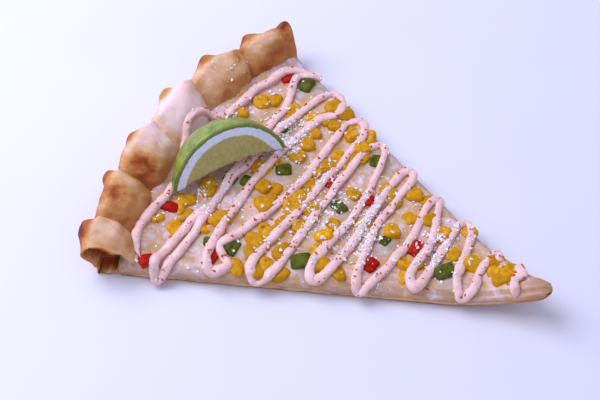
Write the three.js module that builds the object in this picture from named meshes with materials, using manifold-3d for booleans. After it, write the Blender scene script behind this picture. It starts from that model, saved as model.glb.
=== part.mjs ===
// Street corn pizza slice: one cut of a sixteen inch pizza, in millimetres with +Z up.
// A dough base with a rope-crimped rim carries a layer of melted cheese with corn kernels and
// a zigzag of sauce on it, diced peppers and a lime wedge. +X runs from the rim to the tip.
import * as THREE from 'three';
import { mergeVertices } from 'three/addons/utils/BufferGeometryUtils.js';
import Module from 'manifold-3d';

const wasm = await Module();
wasm.setup();

const degrees = THREE.MathUtils.degToRad;
const { clamp, lerp, smoothstep } = THREE.MathUtils;

// Plan: radii and angles are taken from the point where the two cut sides would meet
const MIDDLE = 102.24; // along the slice from that point to the origin
const ASIDE = -1.38; // from the slice's centre line to the origin
const HALF_ANGLE = degrees(24);
const FLARED_ANGLE = degrees(25.6); // the far cut swings outwards across the rim
const NOSE_RADIUS = 5;
const NOSE_ROUNDING = 2;
const ROW_CROWDING = 1.5; // rows of the slabs stand closer towards the tip
const TIP_STRETCH = 7.5; // the tip is drawn out past the meeting point
const TIP_STRETCH_LENGTH = 16;

// Dough base
const BASE_THICKNESS = 4.6;
const BASE_RADIUS = 186;
const BASE_GRID = { rows: 14, columns: 6 };
const TIP_LIFT = 15; // the tip bends up as a parabola
const LIFT_LENGTH = 48;
const CUT_HEIGHT = 60; // of the upright cuts, above and below the floor
const CUT_CLEARANCE = 0.05; // the rim's cut faces stand this far outside the base's sides

// Rim: highest towards its outer side and sloping gently inwards, folded into lobes like a rope
const RIM_CREST = 196;
const RIM_FOOT = 180.5;
const RIM_HUB = 190; // middle of its section
const RIM_OUTER = 5.6;
const RIM_WAIST = 9;
const RIM_TUCK = 3; // the inner side is widest this much lower
const RIM_RISE = 13.2;
const RIM_SIDES = 16;
const INNER_SLOPE = 0.35;
const UNDERCUT = 3.2; // the outer side draws in below the knobs
const NEAR_UNDERCUT = 1.5; // and more at the near end
const UNDERCUT_FADE = [-0.45, 0.3]; // how far downwards that sets in and is full
const FAR_SHRINK = { amount: 9, from: degrees(5), to: degrees(27) }; // the crest runs inwards there
const NEAR_DROP = { share: 0.26, to: degrees(-20) }; // the first lobe sinks towards its cut end
const LOBE_EDGES = [-27, -17.8, -10.1, -1.5, 7.4, 16.6, 23.4, 31].map(degrees);
const LOBE_SIZES = [1.02, 0.98, 1.05, 1, 0.98, 0.98, 1];
const LOBE_LIPS = [1, 0.9, 0.2, 0.8, 1, 0.3, 0.3]; // how far a lobe ends in a lip, not in a soft slope
const LOBE_CREASES = [1, 0.95, 0.65, 1, 0.95, 0.3, 0.3]; // how deep the crease at its far end is
const CREASE_FEET = [1, 0.25, 0.1, 0.9, 0.3, 0.2, 0.2]; // how far that crease reaches the rim's foot
const FEET_BLEND = [0.3, 0.7]; // the part of a lobe over which one crease's reach turns to the next
const LOBE_TWIST = degrees(1.1); // each crease leans towards the near side at its inner end
const LOBE_BOW = degrees(1.3); // and at its outer end
const BOW_FADE = [0.2, 0.95]; // how far outwards the bow sets in and is full
const LOBE_SWELL = 0.46;
const LOBE_MEAN = 0.64; // a section of this fullness has its own size
const OUTER_DIP = 1.2; // the outer side draws in between the knobs
const LOBE_FACING = degrees(108); // the folds swell this side of the section, not its underside
const LOBE_FADE = [-0.35, 0.6]; // cosines from that side between which the swelling sets in
const DEEP_FADE = [-0.95, 0.3]; // and where a crease reaches the foot
const TURN_START = degrees(-100); // turns round the section are counted from here
const LOBE_ROWS = [0, 0.14, 0.3, 0.46, 0.62, 0.76, 0.9];
const LOBE_RISES = [0.7, 0.55, 0.34, 0.7, 0.6, 0.5, 0.5]; // each lobe is fullest from here
const LOBE_PLUMPNESS = 0.85;
const LIP_START = 0.6; // its lip drops to the next lobe from here
const LIP_PLUMPNESS = 0.8;
const SLOPE_START = 0.45; // or a soft slope from here
const KNOB_ARM = 13; // from the hub to where the knobs stand
const KNOB_BLUNTNESS = 3;
const SHOULDER = { share: 0.4, along: 2.2, round: 1.5 }; // each knob stands on a wider swelling
// Knobs: angle along the rim and turn round its section in degrees, then size and height
const KNOBS = [
  [-20.8, 148, 5.2, 3.4], [-12.6, 146, 4, 2.4], [-5.8, 140, 4.4, 2.2], [2.9, 146, 4.4, 3.2],
  [11, 144, 5, 3], [18.5, 142, 4.6, 2.8], [24.4, 122, 5, 0.9], [22.6, 128, 6, 2],
  [15.4, 112, 4.2, 1.6], [5.2, 85, 6, 0.9],
];
// Hollow under the near end's fold; its middle stands a little out of the cut
const HOLLOW = { radius: 189.4, z: 8.3, along: 6.6, deep: 8, high: 6.2, out: 0.7 };
const HOLLOW_SIDES = { round: 12, down: 8 };

// Cheese layer
const GAP = 0.3; // between pieces that touch
const WELD = 0.001; // corners nearer than this are made one
const SEAM = 0.00001; // the same, in a raw primitive
const CHEESE_RADIUS = 184;
const CHEESE_THICKNESS = 3.2;
const CHEESE_GRID = { rows: 16, columns: 8 };
const CHEESE_EDGE = { width: 6, drop: 0.9 }; // the layer thins out at the cut sides
const CHEESE_CLIMB = { height: 2.6, from: 171, to: 182.5 }; // and runs up the foot of the rim
const RIPPLE = { height: 0.45, along: 0.31, across: 0.29, skew: 0.15 };

// Corn kernels, in rows across the slice: distance along it, then places to the near and far side
const KERNEL = { length: 4.7, width: 3.9, height: 2.5, sunk: 1.7, taper: 0.22, stray: 0.8 };
const KERNEL_SIZES = [0.88, 1.12];
const KERNEL_SIDES = { round: 6, down: 3 };
const CORN_SEED = 11;
const CORN_ROWS = [
  [177, [37]],
  [170, [-46, 26]],
  [164, [-38, -31, 38]],
  [160, [-20, 42]],
  [147, [-40, 41]],
  [144, [-33, 2]],
  [137, [-7, 10, 41]],
  [132, [-16, 16, 25, 33, 52]],
  [125, [-52, -35, -27, 42, 51]],
  [120, [-30, -11, -3, 5, 13]],
  [116, [-48, 41]],
  [111, [-34, -6]],
  [108, [30, 37]],
  [99, [-25, -18, -9, 10]],
  [94, [-31]],
  [85, [-31, -4, 20]],
  [75, [1, 24]],
  [70, [10]],
  [62, [-12, 15]],
  [53, [10]],
  [45, [2, 20]],
  [35, [3]],
  [26, [1, 8]],
  [20, [-2, 4]],
];

// Sauce: one strand that zigzags from the rim to the tip, turning at the near and far cut sides
const STRAND = { width: 4.3, height: 3.2, sunk: 0.5, sides: 5, step: 10, bend: degrees(42) };
const TURN_LEAST_INSIDE = 0.35; // near the tip a turn starts at this share of the half width
// The turns: places along the slice, half their widths, how deep they are and how far they run past
// the cut side, and what the strand passes after some of them, where it doubles back
const NEAR_TURNS = {
  side: -1,
  places: [154, 134, 115, 93, 73.7, 54, 33.5, 13],
  halves: [3.4, 5.4, 4.4, 3.5, 3, 3.2, 3.6, 2.4],
  depths: [4, 4.5, 4, 3.5, 4, 3.5, 4, 3],
  overs: [2.6, -2.4, 1, -1.5, 1, -2.5, 0.6, 0.8],
  loops: { 1: [[139.5, -41.5]] },
};
const FAR_TURNS = {
  side: 1,
  places: [149.4, 134.3, 116, 100.5, 82, 63.7, 45.8, 27.8],
  halves: [1.8, 5, 4.5, 3.5, 3, 2, 3, 1.6],
  depths: [2, 4, 4, 4, 3.5, 4, 3.5, 3],
  overs: [1.3, 1.5, -1, -2, -1, -1, 1.5, -0.3],
  loops: { 0: [[157, 60], [152.8, 42]], 1: [[127.8, 49], [134, 40]], 7: [[21.5, 10.2], [16.4, 7]] },
};
const STROKE_BOWS = [2, 5.5, 4.8, -4.2, -0.5, 0.6, -3.9, -1, 3.1, -3.5, -3.4, 0.2, 0.2, 0.9, 1.2];
const RIM_STROKE = [
  [162.5, -69], [169.5, -63.5], [173, -55], [173.2, -46.5], [172, -33.5], [175.5, -17], [181.5, -5],
  [185, 4], [182, 14], [175.5, 18.5], [173, 29], [171, 43], [167.6, 51], [164.5, 59], [158, 64.2],
];
const STRAND_DRAPE = 0.25; // a turn past the near cut side hangs down, more the further it is out
const STRAND_RIDE = 0.5; // share of a kernel's height that the strand climbs
const STRAND_RIDE_REACH = 6;

// Diced peppers: place along and across, then the edge length
const RED_DICE = [
  [168, -39.5, 8.5], [160.5, -68, 7.5], [136.5, -52, 7.5], [110, 10, 8], [90, 10.4, 7.5],
  [60, -3, 8.5], [74, -20.5, 8], [161, 57.5, 7], [148, -37, 5.5],
];
const GREEN_DICE = [
  [150.5, 59, 9], [147, 28, 6.5], [134, 6, 8], [131.5, -43.5, 8], [101.5, -34.5, 9.5], [101, 0, 8],
  [98.5, 32.6, 7.5], [74.5, -6, 6], [44, -8, 9.5], [143, -46, 5], [152.5, -11.5, 7], [145.5, -8.5, 7],
];
const DICE_SEEDS = { red: 23, green: 37 };
const DICE = { flat: 0.72, thick: 0.62, sunkShare: 0.45, rounding: 0.16, tilt: degrees(7) };

// Lime: a lengthwise wedge that lies on the sauce with its core edge to the near side
const LIME = { halfLength: 26.8, radius: 24.8, nipple: 2.2, wedge: degrees(62), tilt: degrees(14) };
const LIME_PLACE = { along: 153.6, across: -8.6, z: 11.6, heading: degrees(121.5) };
const LIME_POLE_SHARPNESS = 12;
const LIME_SIDES = 40;
const LIME_PROFILE_STEPS = 14;

function spot(along, across, z) {
  return new THREE.Vector3(MIDDLE - along, across - ASIDE, z);
}

function polarSpot(radius, angle, z) {
  return spot(radius * Math.cos(angle), radius * Math.sin(angle), z);
}

function seededDraws(seed) {
  let state = seed >>> 0;
  return () => {
    state = (state + 0x6d2b79f5) >>> 0;
    let mixed = Math.imul(state ^ (state >>> 15), state | 1);
    mixed ^= mixed + Math.imul(mixed ^ (mixed >>> 7), mixed | 61);
    return ((mixed ^ (mixed >>> 14)) >>> 0) / 4294967296;
  };
}

// A geometry with its seams closed and each corner moved by a rule
function shaped(geometry, move) {
  geometry.deleteAttribute('normal');
  geometry.deleteAttribute('uv');
  const closed = mergeVertices(geometry, SEAM);
  const position = closed.attributes.position;
  const corner = new THREE.Vector3();
  for (let i = 0; i < position.count; i += 1) {
    corner.fromBufferAttribute(position, i);
    const moved = move(corner);
    position.setXYZ(i, moved.x, moved.y, moved.z);
  }
  return closed;
}

// The closed geometry as a solid, with its faces turned outwards
function solid(geometry) {
  const points = geometry.attributes.position;
  const faces = Array.from(geometry.index.array);
  const [a, b, c] = [new THREE.Vector3(), new THREE.Vector3(), new THREE.Vector3()];
  let volume = 0;
  for (let i = 0; i < faces.length; i += 3) {
    a.fromBufferAttribute(points, faces[i]);
    b.fromBufferAttribute(points, faces[i + 1]);
    c.fromBufferAttribute(points, faces[i + 2]);
    volume += a.dot(b.cross(c));
  }
  if (volume < 0) {
    faces.reverse();
  }
  const mesh = new wasm.Mesh({
    numProp: 3,
    vertProperties: Float32Array.from(points.array),
    triVerts: Uint32Array.from(faces),
  });
  return new wasm.Manifold(mesh);
}

function solidGeometry(body) {
  const { vertProperties, triVerts } = body.getMesh();
  const geometry = new THREE.BufferGeometry();
  geometry.setAttribute('position', new THREE.BufferAttribute(vertProperties, 3));
  geometry.setIndex(new THREE.BufferAttribute(triVerts, 1));
  return geometry;
}

function joined(solids) {
  return solids.reduce((whole, piece) => whole.add(piece));
}

// The largest body of a solid, without the scraps that a cut leaves; near corners are made one
// until no sliver holds a scrap on
function largestBody(whole) {
  const bodies = solid(mergeVertices(solidGeometry(whole), WELD)).decompose();
  const largest = bodies.reduce((best, body) => (body.volume() > best.volume() ? body : best));
  return bodies.length > 1 ? largestBody(largest) : largest;
}

function tipLift(along) {
  const share = Math.max(0, 1 - along / LIFT_LENGTH);
  return TIP_LIFT * share * share;
}

function noseRadius(angle) {
  return NOSE_RADIUS + NOSE_ROUNDING * (angle / HALF_ANGLE) ** 2;
}

// A slab over the wedge from the nose to a radius; a corner's z of -0.5 is its floor and 0.5 its top
function wedgeSlab(outerRadius, { rows, columns }, floorHeight, topHeight) {
  const box = new THREE.BoxGeometry(1, 1, 1, rows, columns, 1);
  return shaped(box, (corner) => {
    const angle = corner.y * 2 * HALF_ANGLE;
    const outwards = (corner.x + 0.5) ** ROW_CROWDING;
    const radius = lerp(noseRadius(angle), outerRadius, outwards);
    const along = radius * Math.cos(angle) - TIP_STRETCH * Math.exp(-radius / TIP_STRETCH_LENGTH);
    const height = corner.z < 0 ? floorHeight(radius, angle) : topHeight(radius, angle);
    return spot(along, radius * Math.sin(angle), tipLift(along) + height);
  });
}

// From 1 before the start down to 0 at a share of 1
function roundedFall(share, start) {
  const fallen = clamp((share - start) / (1 - start), 0, 1);
  return Math.max(0, Math.cos(0.5 * Math.PI * fallen));
}

// From 0 in a full crease to 1 on top of a lobe
function lobeFullness(lobe, share) {
  const rise = Math.sin(0.5 * Math.PI * Math.min(share / LOBE_RISES[lobe], 1)) ** LOBE_PLUMPNESS;
  const lip = roundedFall(share, LIP_START) ** LIP_PLUMPNESS;
  const fall = lerp(roundedFall(share, SLOPE_START), lip, LOBE_LIPS[lobe]);
  const fromStart = 1 - LOBE_CREASES[Math.max(lobe - 1, 0)] * (1 - rise);
  const toEnd = 1 - LOBE_CREASES[lobe] * (1 - fall);
  return fromStart * toEnd;
}

// How far a crease is drawn to the near side, by how far inwards on the section it is
function creaseShift(inwards) {
  const lean = LOBE_TWIST * (0.5 + 0.5 * inwards);
  return lean + LOBE_BOW * smoothstep(-inwards, ...BOW_FADE);
}

function lobeAngle(lobe, share, inwards) {
  return lerp(LOBE_EDGES[lobe], LOBE_EDGES[lobe + 1], share) - creaseShift(inwards);
}

function foldSwell(lobe, share) {
  return LOBE_SWELL * (LOBE_SIZES[lobe] * lobeFullness(lobe, share) - LOBE_MEAN);
}

function knobHeight(angle, turn) {
  let height = 0;
  for (const [knobAngle, knobTurn, size, knob] of KNOBS) {
    const along = (RIM_CREST * (angle - degrees(knobAngle))) / size;
    const round = (KNOB_ARM * (turn - degrees(knobTurn))) / size;
    const nose = Math.exp(-(Math.hypot(along, round) ** KNOB_BLUNTNESS));
    const shoulder = Math.exp(-(Math.hypot(along / SHOULDER.along, round / SHOULDER.round) ** 2));
    height += knob * (nose + SHOULDER.share * shoulder);
  }
  return height;
}

function crestRadius(angle) {
  return RIM_CREST - FAR_SHRINK.amount * smoothstep(angle, FAR_SHRINK.from, FAR_SHRINK.to);
}

// A point of the rim: turn runs round its section from the inner foot over the crest, and share
// runs along one lobe from its low near end to the lip of its far end
function rimPoint(lobe, share, turn, growth) {
  const inwards = Math.cos(turn);
  const upwards = Math.sin(turn);
  const inside = Math.max(0, inwards);
  const angle = lobeAngle(lobe, share, inwards);
  const nearEnd = 1 - smoothstep(angle, -HALF_ANGLE, NEAR_DROP.to);
  const waist = RIM_WAIST - RIM_TUCK * inside * (1 - nearEnd);
  const facing = Math.cos(turn - LOBE_FACING);
  const footBefore = CREASE_FEET[Math.max(lobe - 1, 0)];
  const foot = lerp(footBefore, CREASE_FEET[lobe], smoothstep(share, ...FEET_BLEND));
  const exposed = lerp(smoothstep(facing, ...LOBE_FADE), smoothstep(facing, ...DEEP_FADE), foot);
  const swell = 1 + exposed * foldSwell(lobe, share);
  const knob = knobHeight(angle, turn);
  const crest = crestRadius(angle);
  const reach = (inwards > 0 ? crest - RIM_FOOT : RIM_OUTER) * swell + growth + knob;
  const undercut = (UNDERCUT + NEAR_UNDERCUT * nearEnd) * smoothstep(-upwards, ...UNDERCUT_FADE);
  const dip = OUTER_DIP * (1 - lobeFullness(lobe, share));
  const drawnIn = (undercut + dip) * Math.max(0, -inwards);
  const rise = RIM_RISE * (1 - NEAR_DROP.share * nearEnd);
  const slope = Math.max(0, upwards) ** (1 + INNER_SLOPE * inside);
  const over = rise * slope * swell + upwards * (growth + knob);
  const under = upwards * waist * swell;
  return polarSpot(crest - inwards * reach - drawnIn, angle, waist + (upwards > 0 ? over : under));
}

function rimRing(growth) {
  const rows = (LOBE_EDGES.length - 1) * LOBE_ROWS.length - 1;
  const drum = new THREE.CylinderGeometry(1, 1, rows, RIM_SIDES, rows);
  return shaped(drum, (corner) => {
    const row = Math.round(corner.y + rows / 2);
    const lobe = Math.floor(row / LOBE_ROWS.length);
    const share = LOBE_ROWS[row % LOBE_ROWS.length];
    if (Math.hypot(corner.x, corner.z) < 0.5) {
      return polarSpot(RIM_HUB, lobeAngle(lobe, share, 0), RIM_WAIST);
    }
    const turn = Math.atan2(corner.z, corner.x);
    return rimPoint(lobe, share, turn < TURN_START ? turn + 2 * Math.PI : turn, growth);
  });
}

// Height of the rim's inner slope, or nought where there is none
function rimTop(along, across) {
  const radius = Math.hypot(along, across);
  if (radius < RIM_FOOT) {
    return 0;
  }
  const angle = Math.atan2(across, along);
  const reach = crestRadius(angle) - RIM_FOOT;
  const inwards = clamp((crestRadius(angle) - radius) / reach, 0, 1);
  const place = angle + creaseShift(inwards);
  const lobe = LOBE_EDGES.findLastIndex((edge) => edge <= place);
  const share = (place - LOBE_EDGES[lobe]) / (LOBE_EDGES[lobe + 1] - LOBE_EDGES[lobe]);
  const slope = (1 - inwards * inwards) ** (0.5 + 0.5 * INNER_SLOPE * inwards);
  return RIM_WAIST - RIM_TUCK * inwards + RIM_RISE * slope * (1 + foldSwell(lobe, share));
}

// The upright prism between the two cuts of the pizza wheel
function cutPrism() {
  const far = 2 * RIM_CREST;
  const forwards = CUT_CLEARANCE / Math.sin(HALF_ANGLE);
  const outline = [
    [0, 0],
    [far, -HALF_ANGLE],
    [far, FLARED_ANGLE],
    [RIM_FOOT, HALF_ANGLE],
  ].map(([radius, angle]) => polarSpot(radius, angle, 0));
  const shape = new THREE.Shape(outline.map((point) => new THREE.Vector2(point.x + forwards, point.y)));
  const prism = new THREE.ExtrudeGeometry(shape, { depth: 2 * CUT_HEIGHT, bevelEnabled: false });
  return shaped(prism, (corner) => corner.setZ(corner.z - CUT_HEIGHT));
}

function crustSolid() {
  const base = solid(wedgeSlab(BASE_RADIUS, BASE_GRID, () => 0, () => BASE_THICKNESS));
  const rim = solid(rimRing(0)).intersect(solid(cutPrism()));
  const ball = new THREE.SphereGeometry(1, HOLLOW_SIDES.round, HOLLOW_SIDES.down);
  const hollow = solid(shaped(ball, (corner) => {
    const radius = HOLLOW.radius + HOLLOW.along * corner.x;
    const angle = -HALF_ANGLE + (HOLLOW.deep * corner.y - HOLLOW.out) / HOLLOW.radius;
    return polarSpot(radius, angle, HOLLOW.z + HOLLOW.high * corner.z);
  }));
  return largestBody(base.add(rim).subtract(hollow));
}

function cheeseHeight(radius, angle) {
  const along = radius * Math.cos(angle);
  const across = radius * Math.sin(angle);
  const lengthways = Math.sin(RIPPLE.along * along + RIPPLE.skew * across);
  const sideways = Math.cos(RIPPLE.across * across - RIPPLE.skew * along);
  const ripple = lengthways * sideways;
  const edge = smoothstep(Math.abs(angle) / HALF_ANGLE, 1 - CHEESE_EDGE.width / radius, 1);
  const flat = BASE_THICKNESS + GAP + CHEESE_THICKNESS;
  const climb = CHEESE_CLIMB.height * smoothstep(radius, CHEESE_CLIMB.from, CHEESE_CLIMB.to);
  return flat + RIPPLE.height * ripple - CHEESE_EDGE.drop * edge + climb;
}

function cheeseTop(along, across) {
  const angle = clamp(Math.atan2(across, along), -HALF_ANGLE, HALF_ANGLE);
  return tipLift(along) + cheeseHeight(Math.hypot(along, across), angle);
}

function kernelPlaces() {
  const draw = seededDraws(CORN_SEED);
  const places = [];
  for (const [along, row] of CORN_ROWS) {
    for (const across of row) {
      places.push({
        along: along + KERNEL.stray * (2 * draw() - 1),
        across: across + KERNEL.stray * (2 * draw() - 1),
        heading: 2 * Math.PI * draw(),
        size: lerp(...KERNEL_SIZES, draw()),
      });
    }
  }
  return places;
}

function kernelSolid({ along, across, heading, size }) {
  const z = cheeseTop(along, across) + KERNEL.height * size - KERNEL.sunk;
  return solid(shaped(new THREE.SphereGeometry(1, KERNEL_SIDES.round, KERNEL_SIDES.down), (corner) => {
    const narrowing = size * (1 - KERNEL.taper * corner.x);
    const forward = KERNEL.length * size * corner.x;
    const sideways = KERNEL.width * narrowing * corner.z;
    const upwards = KERNEL.height * narrowing * corner.y;
    return spot(
      along + forward * Math.cos(heading) - sideways * Math.sin(heading),
      across + forward * Math.sin(heading) + sideways * Math.cos(heading),
      z + upwards,
    );
  }));
}

// One side's turn of the zigzag: towards the cut side, round and back
function strandTurn({ side, places, halves, depths, overs, loops }, index) {
  const along = places[index];
  const half = halves[index];
  const reach = along * Math.tan(HALF_ANGLE) + overs[index];
  const inside = Math.max(reach - depths[index], TURN_LEAST_INSIDE * reach);
  const turn = [[along + half, side * inside], [along, side * reach], [along - half, side * inside]];
  return [...turn, ...(loops[index] ?? [])];
}

// The strand's runs: each goes from the middle of one stroke round a turn to the next middle, and
// the last one ends on its turn
function strandRuns() {
  const turns = [];
  for (let i = 0; i < NEAR_TURNS.places.length; i += 1) {
    turns.push(strandTurn(FAR_TURNS, i));
    turns.push(strandTurn(NEAR_TURNS, i));
  }
  turns.at(-1).pop();
  const middles = STROKE_BOWS.map((bow, i) => {
    const [from, to] = [turns[i].at(-1), turns[i + 1][0]];
    return [(from[0] + to[0]) / 2 + bow, (from[1] + to[1]) / 2];
  });
  return turns.map((turn, i) => {
    const before = i === 0 ? RIM_STROKE : [middles[i - 1]];
    const after = i < middles.length ? [middles[i]] : [];
    return [...before, ...turn, ...after];
  });
}

// Height of the strand's middle: it lies on the cheese or the rim, climbs over kernels and dice, and
// sags where a turn reaches past the near cut side; its underside fills down to the cheese
function strandHeight(along, across, bumps) {
  let rise = 0;
  for (const bump of bumps) {
    const distance = Math.hypot(along - bump.along, across - bump.across) / STRAND_RIDE_REACH;
    rise = Math.max(rise, bump.height * Math.exp(-distance * distance));
  }
  const past = Math.max(0, -across - along * Math.tan(HALF_ANGLE) + STRAND.width / 2);
  const sag = STRAND_DRAPE * past * past;
  const bed = Math.max(cheeseTop(along, across) + rise - sag, rimTop(along, across));
  return bed + STRAND.height / 2 - STRAND.sunk;
}

// How sharply a run bends at one of its points
function bendAt(run, i) {
  if (i === 0 || i === run.length - 1) {
    return 0;
  }
  const before = Math.atan2(run[i][1] - run[i - 1][1], run[i][0] - run[i - 1][0]);
  const after = Math.atan2(run[i + 1][1] - run[i][1], run[i + 1][0] - run[i][0]);
  return Math.acos(Math.cos(after - before));
}

// Places along a run's curve, closer together where it bends round a turn
function strandShares(run) {
  const shares = [0];
  const stretches = run.length - 1;
  for (let i = 0; i < stretches; i += 1) {
    const length = Math.hypot(run[i + 1][0] - run[i][0], run[i + 1][1] - run[i][1]);
    const bend = (bendAt(run, i) + bendAt(run, i + 1)) / 2;
    const steps = Math.max(1 + Math.round(bend / STRAND.bend), Math.round(length / STRAND.step));
    for (let step = 1; step <= steps; step += 1) {
      shares.push((i + step / steps) / stretches);
    }
  }
  return shares;
}

function strandSolid(run, bumps) {
  const bends = run.map(([along, across]) => new THREE.Vector3(along, across, 0));
  const curve = new THREE.CatmullRomCurve3(bends);
  const shares = strandShares(run);
  const rows = shares.length - 1;
  const drum = new THREE.CylinderGeometry(1, 1, rows, STRAND.sides, rows);
  return solid(shaped(drum, (corner) => {
    const share = shares[Math.round(corner.y + rows / 2)];
    const middle = curve.getPoint(share);
    const tangent = curve.getTangent(share);
    const sideways = 0.5 * STRAND.width * corner.x;
    const along = middle.x - tangent.y * sideways;
    const across = middle.y + tangent.x * sideways;
    const z = strandHeight(middle.x, middle.y, bumps) + 0.5 * STRAND.height * corner.z;
    const bed = cheeseTop(along, across) - STRAND.sunk;
    return spot(along, across, corner.z < 0 ? Math.min(z, bed) : z);
  }));
}

// The dice, each turned its own way; growth makes the room that a die takes up in the cheese
function dicePlaces(rows, seed) {
  const draw = seededDraws(seed);
  return rows.map(([along, across, edge]) => ({
    along,
    across,
    edge,
    heading: Math.PI * draw(),
    tilt: DICE.tilt * (2 * draw() - 1),
    lean: DICE.tilt * (2 * draw() - 1),
  }));
}

function diceGeometry({ along, across, edge, heading, tilt, lean }, growth, rounding) {
  const thick = DICE.thick * edge;
  const middle = spot(along, across, cheeseTop(along, across) + thick * (0.5 - DICE.sunkShare));
  const turn = new THREE.Euler(tilt, lean, heading);
  const half = new THREE.Vector3(edge, DICE.flat * edge, thick).multiplyScalar(0.5).addScalar(growth);
  const parts = rounding > 0 ? 2 : 1;
  return shaped(new THREE.BoxGeometry(1, 1, 1, parts, parts, parts), (corner) => {
    const roundness = 1 - rounding * corner.lengthSq();
    return corner.multiplyScalar(2 * roundness).multiply(half).applyEuler(turn).add(middle);
  });
}

// The whole lime by its profile, then the wedge between two planes through its axis
function limeSolid(growth) {
  const profile = [];
  for (let i = 0; i <= LIME_PROFILE_STEPS; i += 1) {
    const turn = (Math.PI * i) / LIME_PROFILE_STEPS;
    const pole = LIME.nipple * Math.abs(Math.cos(turn)) ** LIME_POLE_SHARPNESS;
    const radius = i % LIME_PROFILE_STEPS === 0 ? 0 : (LIME.radius + growth) * Math.sin(turn);
    const y = -Math.cos(turn) * (LIME.halfLength + growth) - Math.sign(Math.cos(turn)) * pole;
    profile.push(new THREE.Vector2(radius, y));
  }
  const whole = new THREE.LatheGeometry(profile, LIME_SIDES);
  const reach = 2 * LIME.radius;
  const wedgeShape = new THREE.Shape([
    new THREE.Vector2(-growth / Math.sin(LIME.wedge / 2), 0),
    new THREE.Vector2(reach, -reach * Math.tan(LIME.wedge / 2)),
    new THREE.Vector2(reach, reach * Math.tan(LIME.wedge / 2)),
  ]);
  const wedge = new THREE.ExtrudeGeometry(wedgeShape, { depth: 4 * LIME.halfLength, bevelEnabled: false });
  wedge.translate(0, 0, -2 * LIME.halfLength);
  wedge.rotateX(Math.PI / 2);
  const stand = (corner) => {
    const lift = LIME.wedge / 2 + LIME.tilt;
    const outwards = corner.x * Math.cos(lift) - corner.z * Math.sin(lift);
    const upwards = corner.x * Math.sin(lift) + corner.z * Math.cos(lift);
    const { along, across, z, heading } = LIME_PLACE;
    return spot(
      along + corner.y * Math.cos(heading) + outwards * Math.sin(heading),
      across + corner.y * Math.sin(heading) - outwards * Math.cos(heading),
      z + upwards,
    );
  };
  return solid(shaped(whole, stand)).intersect(solid(shaped(wedge, stand)));
}

function mesh(name, geometry, color, roughness) {
  const material = new THREE.MeshStandardMaterial({ color, roughness, metalness: 0 });
  const piece = new THREE.Mesh(geometry, material);
  piece.name = name;
  return piece;
}

const redDice = dicePlaces(RED_DICE, DICE_SEEDS.red);
const greenDice = dicePlaces(GREEN_DICE, DICE_SEEDS.green);
const allDice = [...redDice, ...greenDice];
const kernels = kernelPlaces();
const bumps = [
  ...kernels.map(({ along, across }) => ({ along, across, height: STRAND_RIDE * KERNEL.height })),
  ...allDice.map(({ along, across, edge }) => (
    { along, across, height: DICE.thick * edge * (1 - DICE.sunkShare) }
  )),
];

const crust = crustSolid();
const cheeseFloor = () => BASE_THICKNESS + GAP;
const cheeseLayer = solid(wedgeSlab(CHEESE_RADIUS, CHEESE_GRID, cheeseFloor, cheeseHeight));
const topped = joined([
  cheeseLayer,
  ...kernels.map(kernelSolid),
  ...strandRuns().map((run) => strandSolid(run, bumps)),
]);
const room = joined([
  ...allDice.map((die) => solid(diceGeometry(die, GAP, 0))),
  limeSolid(GAP),
  solid(rimRing(GAP)),
]);
const cheese = largestBody(topped.subtract(room));

const slice = new THREE.Group();
slice.add(mesh('crust', solidGeometry(crust), '#cf9a62', 0.75));
slice.add(mesh('cheese', solidGeometry(cheese), '#f0dcc4', 0.45));
slice.add(mesh('lime_wedge', solidGeometry(limeSolid(0)), '#7f9a3a', 0.4));
redDice.forEach((die, i) => {
  slice.add(mesh(`red_pepper_${i + 1}`, diceGeometry(die, 0, DICE.rounding), '#b01a12', 0.35));
});
greenDice.forEach((die, i) => {
  slice.add(mesh(`green_pepper_${i + 1}`, diceGeometry(die, 0, DICE.rounding), '#4e5a22', 0.35));
});

export default slice;
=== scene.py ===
"""Street corn pizza slice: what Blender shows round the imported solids.

Sizes are in millimetres and become metres when a mesh is made. Places are given along the slice,
from the point where its two cut sides would meet, and across it, towards the far side.
"""

import bmesh
import bpy
import numpy as np
from mathutils import Matrix, Vector, kdtree, noise


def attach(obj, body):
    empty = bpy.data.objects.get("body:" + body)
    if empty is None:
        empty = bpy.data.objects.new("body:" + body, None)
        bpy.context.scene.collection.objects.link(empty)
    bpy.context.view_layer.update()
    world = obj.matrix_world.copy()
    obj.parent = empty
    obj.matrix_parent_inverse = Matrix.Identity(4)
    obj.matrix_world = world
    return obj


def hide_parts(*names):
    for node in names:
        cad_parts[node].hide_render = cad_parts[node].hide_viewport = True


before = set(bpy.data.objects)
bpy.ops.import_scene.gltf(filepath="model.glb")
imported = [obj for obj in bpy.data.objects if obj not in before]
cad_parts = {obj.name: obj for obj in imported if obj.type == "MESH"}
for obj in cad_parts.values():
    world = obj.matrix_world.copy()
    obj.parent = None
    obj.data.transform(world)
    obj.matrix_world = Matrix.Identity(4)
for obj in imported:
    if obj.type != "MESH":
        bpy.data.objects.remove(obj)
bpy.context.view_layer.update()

MM = 0.001
degrees = np.radians

# Plan of the slice, as in the solids
MIDDLE = 102.24
ASIDE = -1.38
HALF_ANGLE = degrees(24)
NOSE_RADIUS = 5
NOSE_ROUNDING = 2
ROW_CROWDING = 1.5
TIP_STRETCH = 7.5
TIP_STRETCH_LENGTH = 16
TIP_LIFT = 15
LIFT_LENGTH = 48

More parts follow.
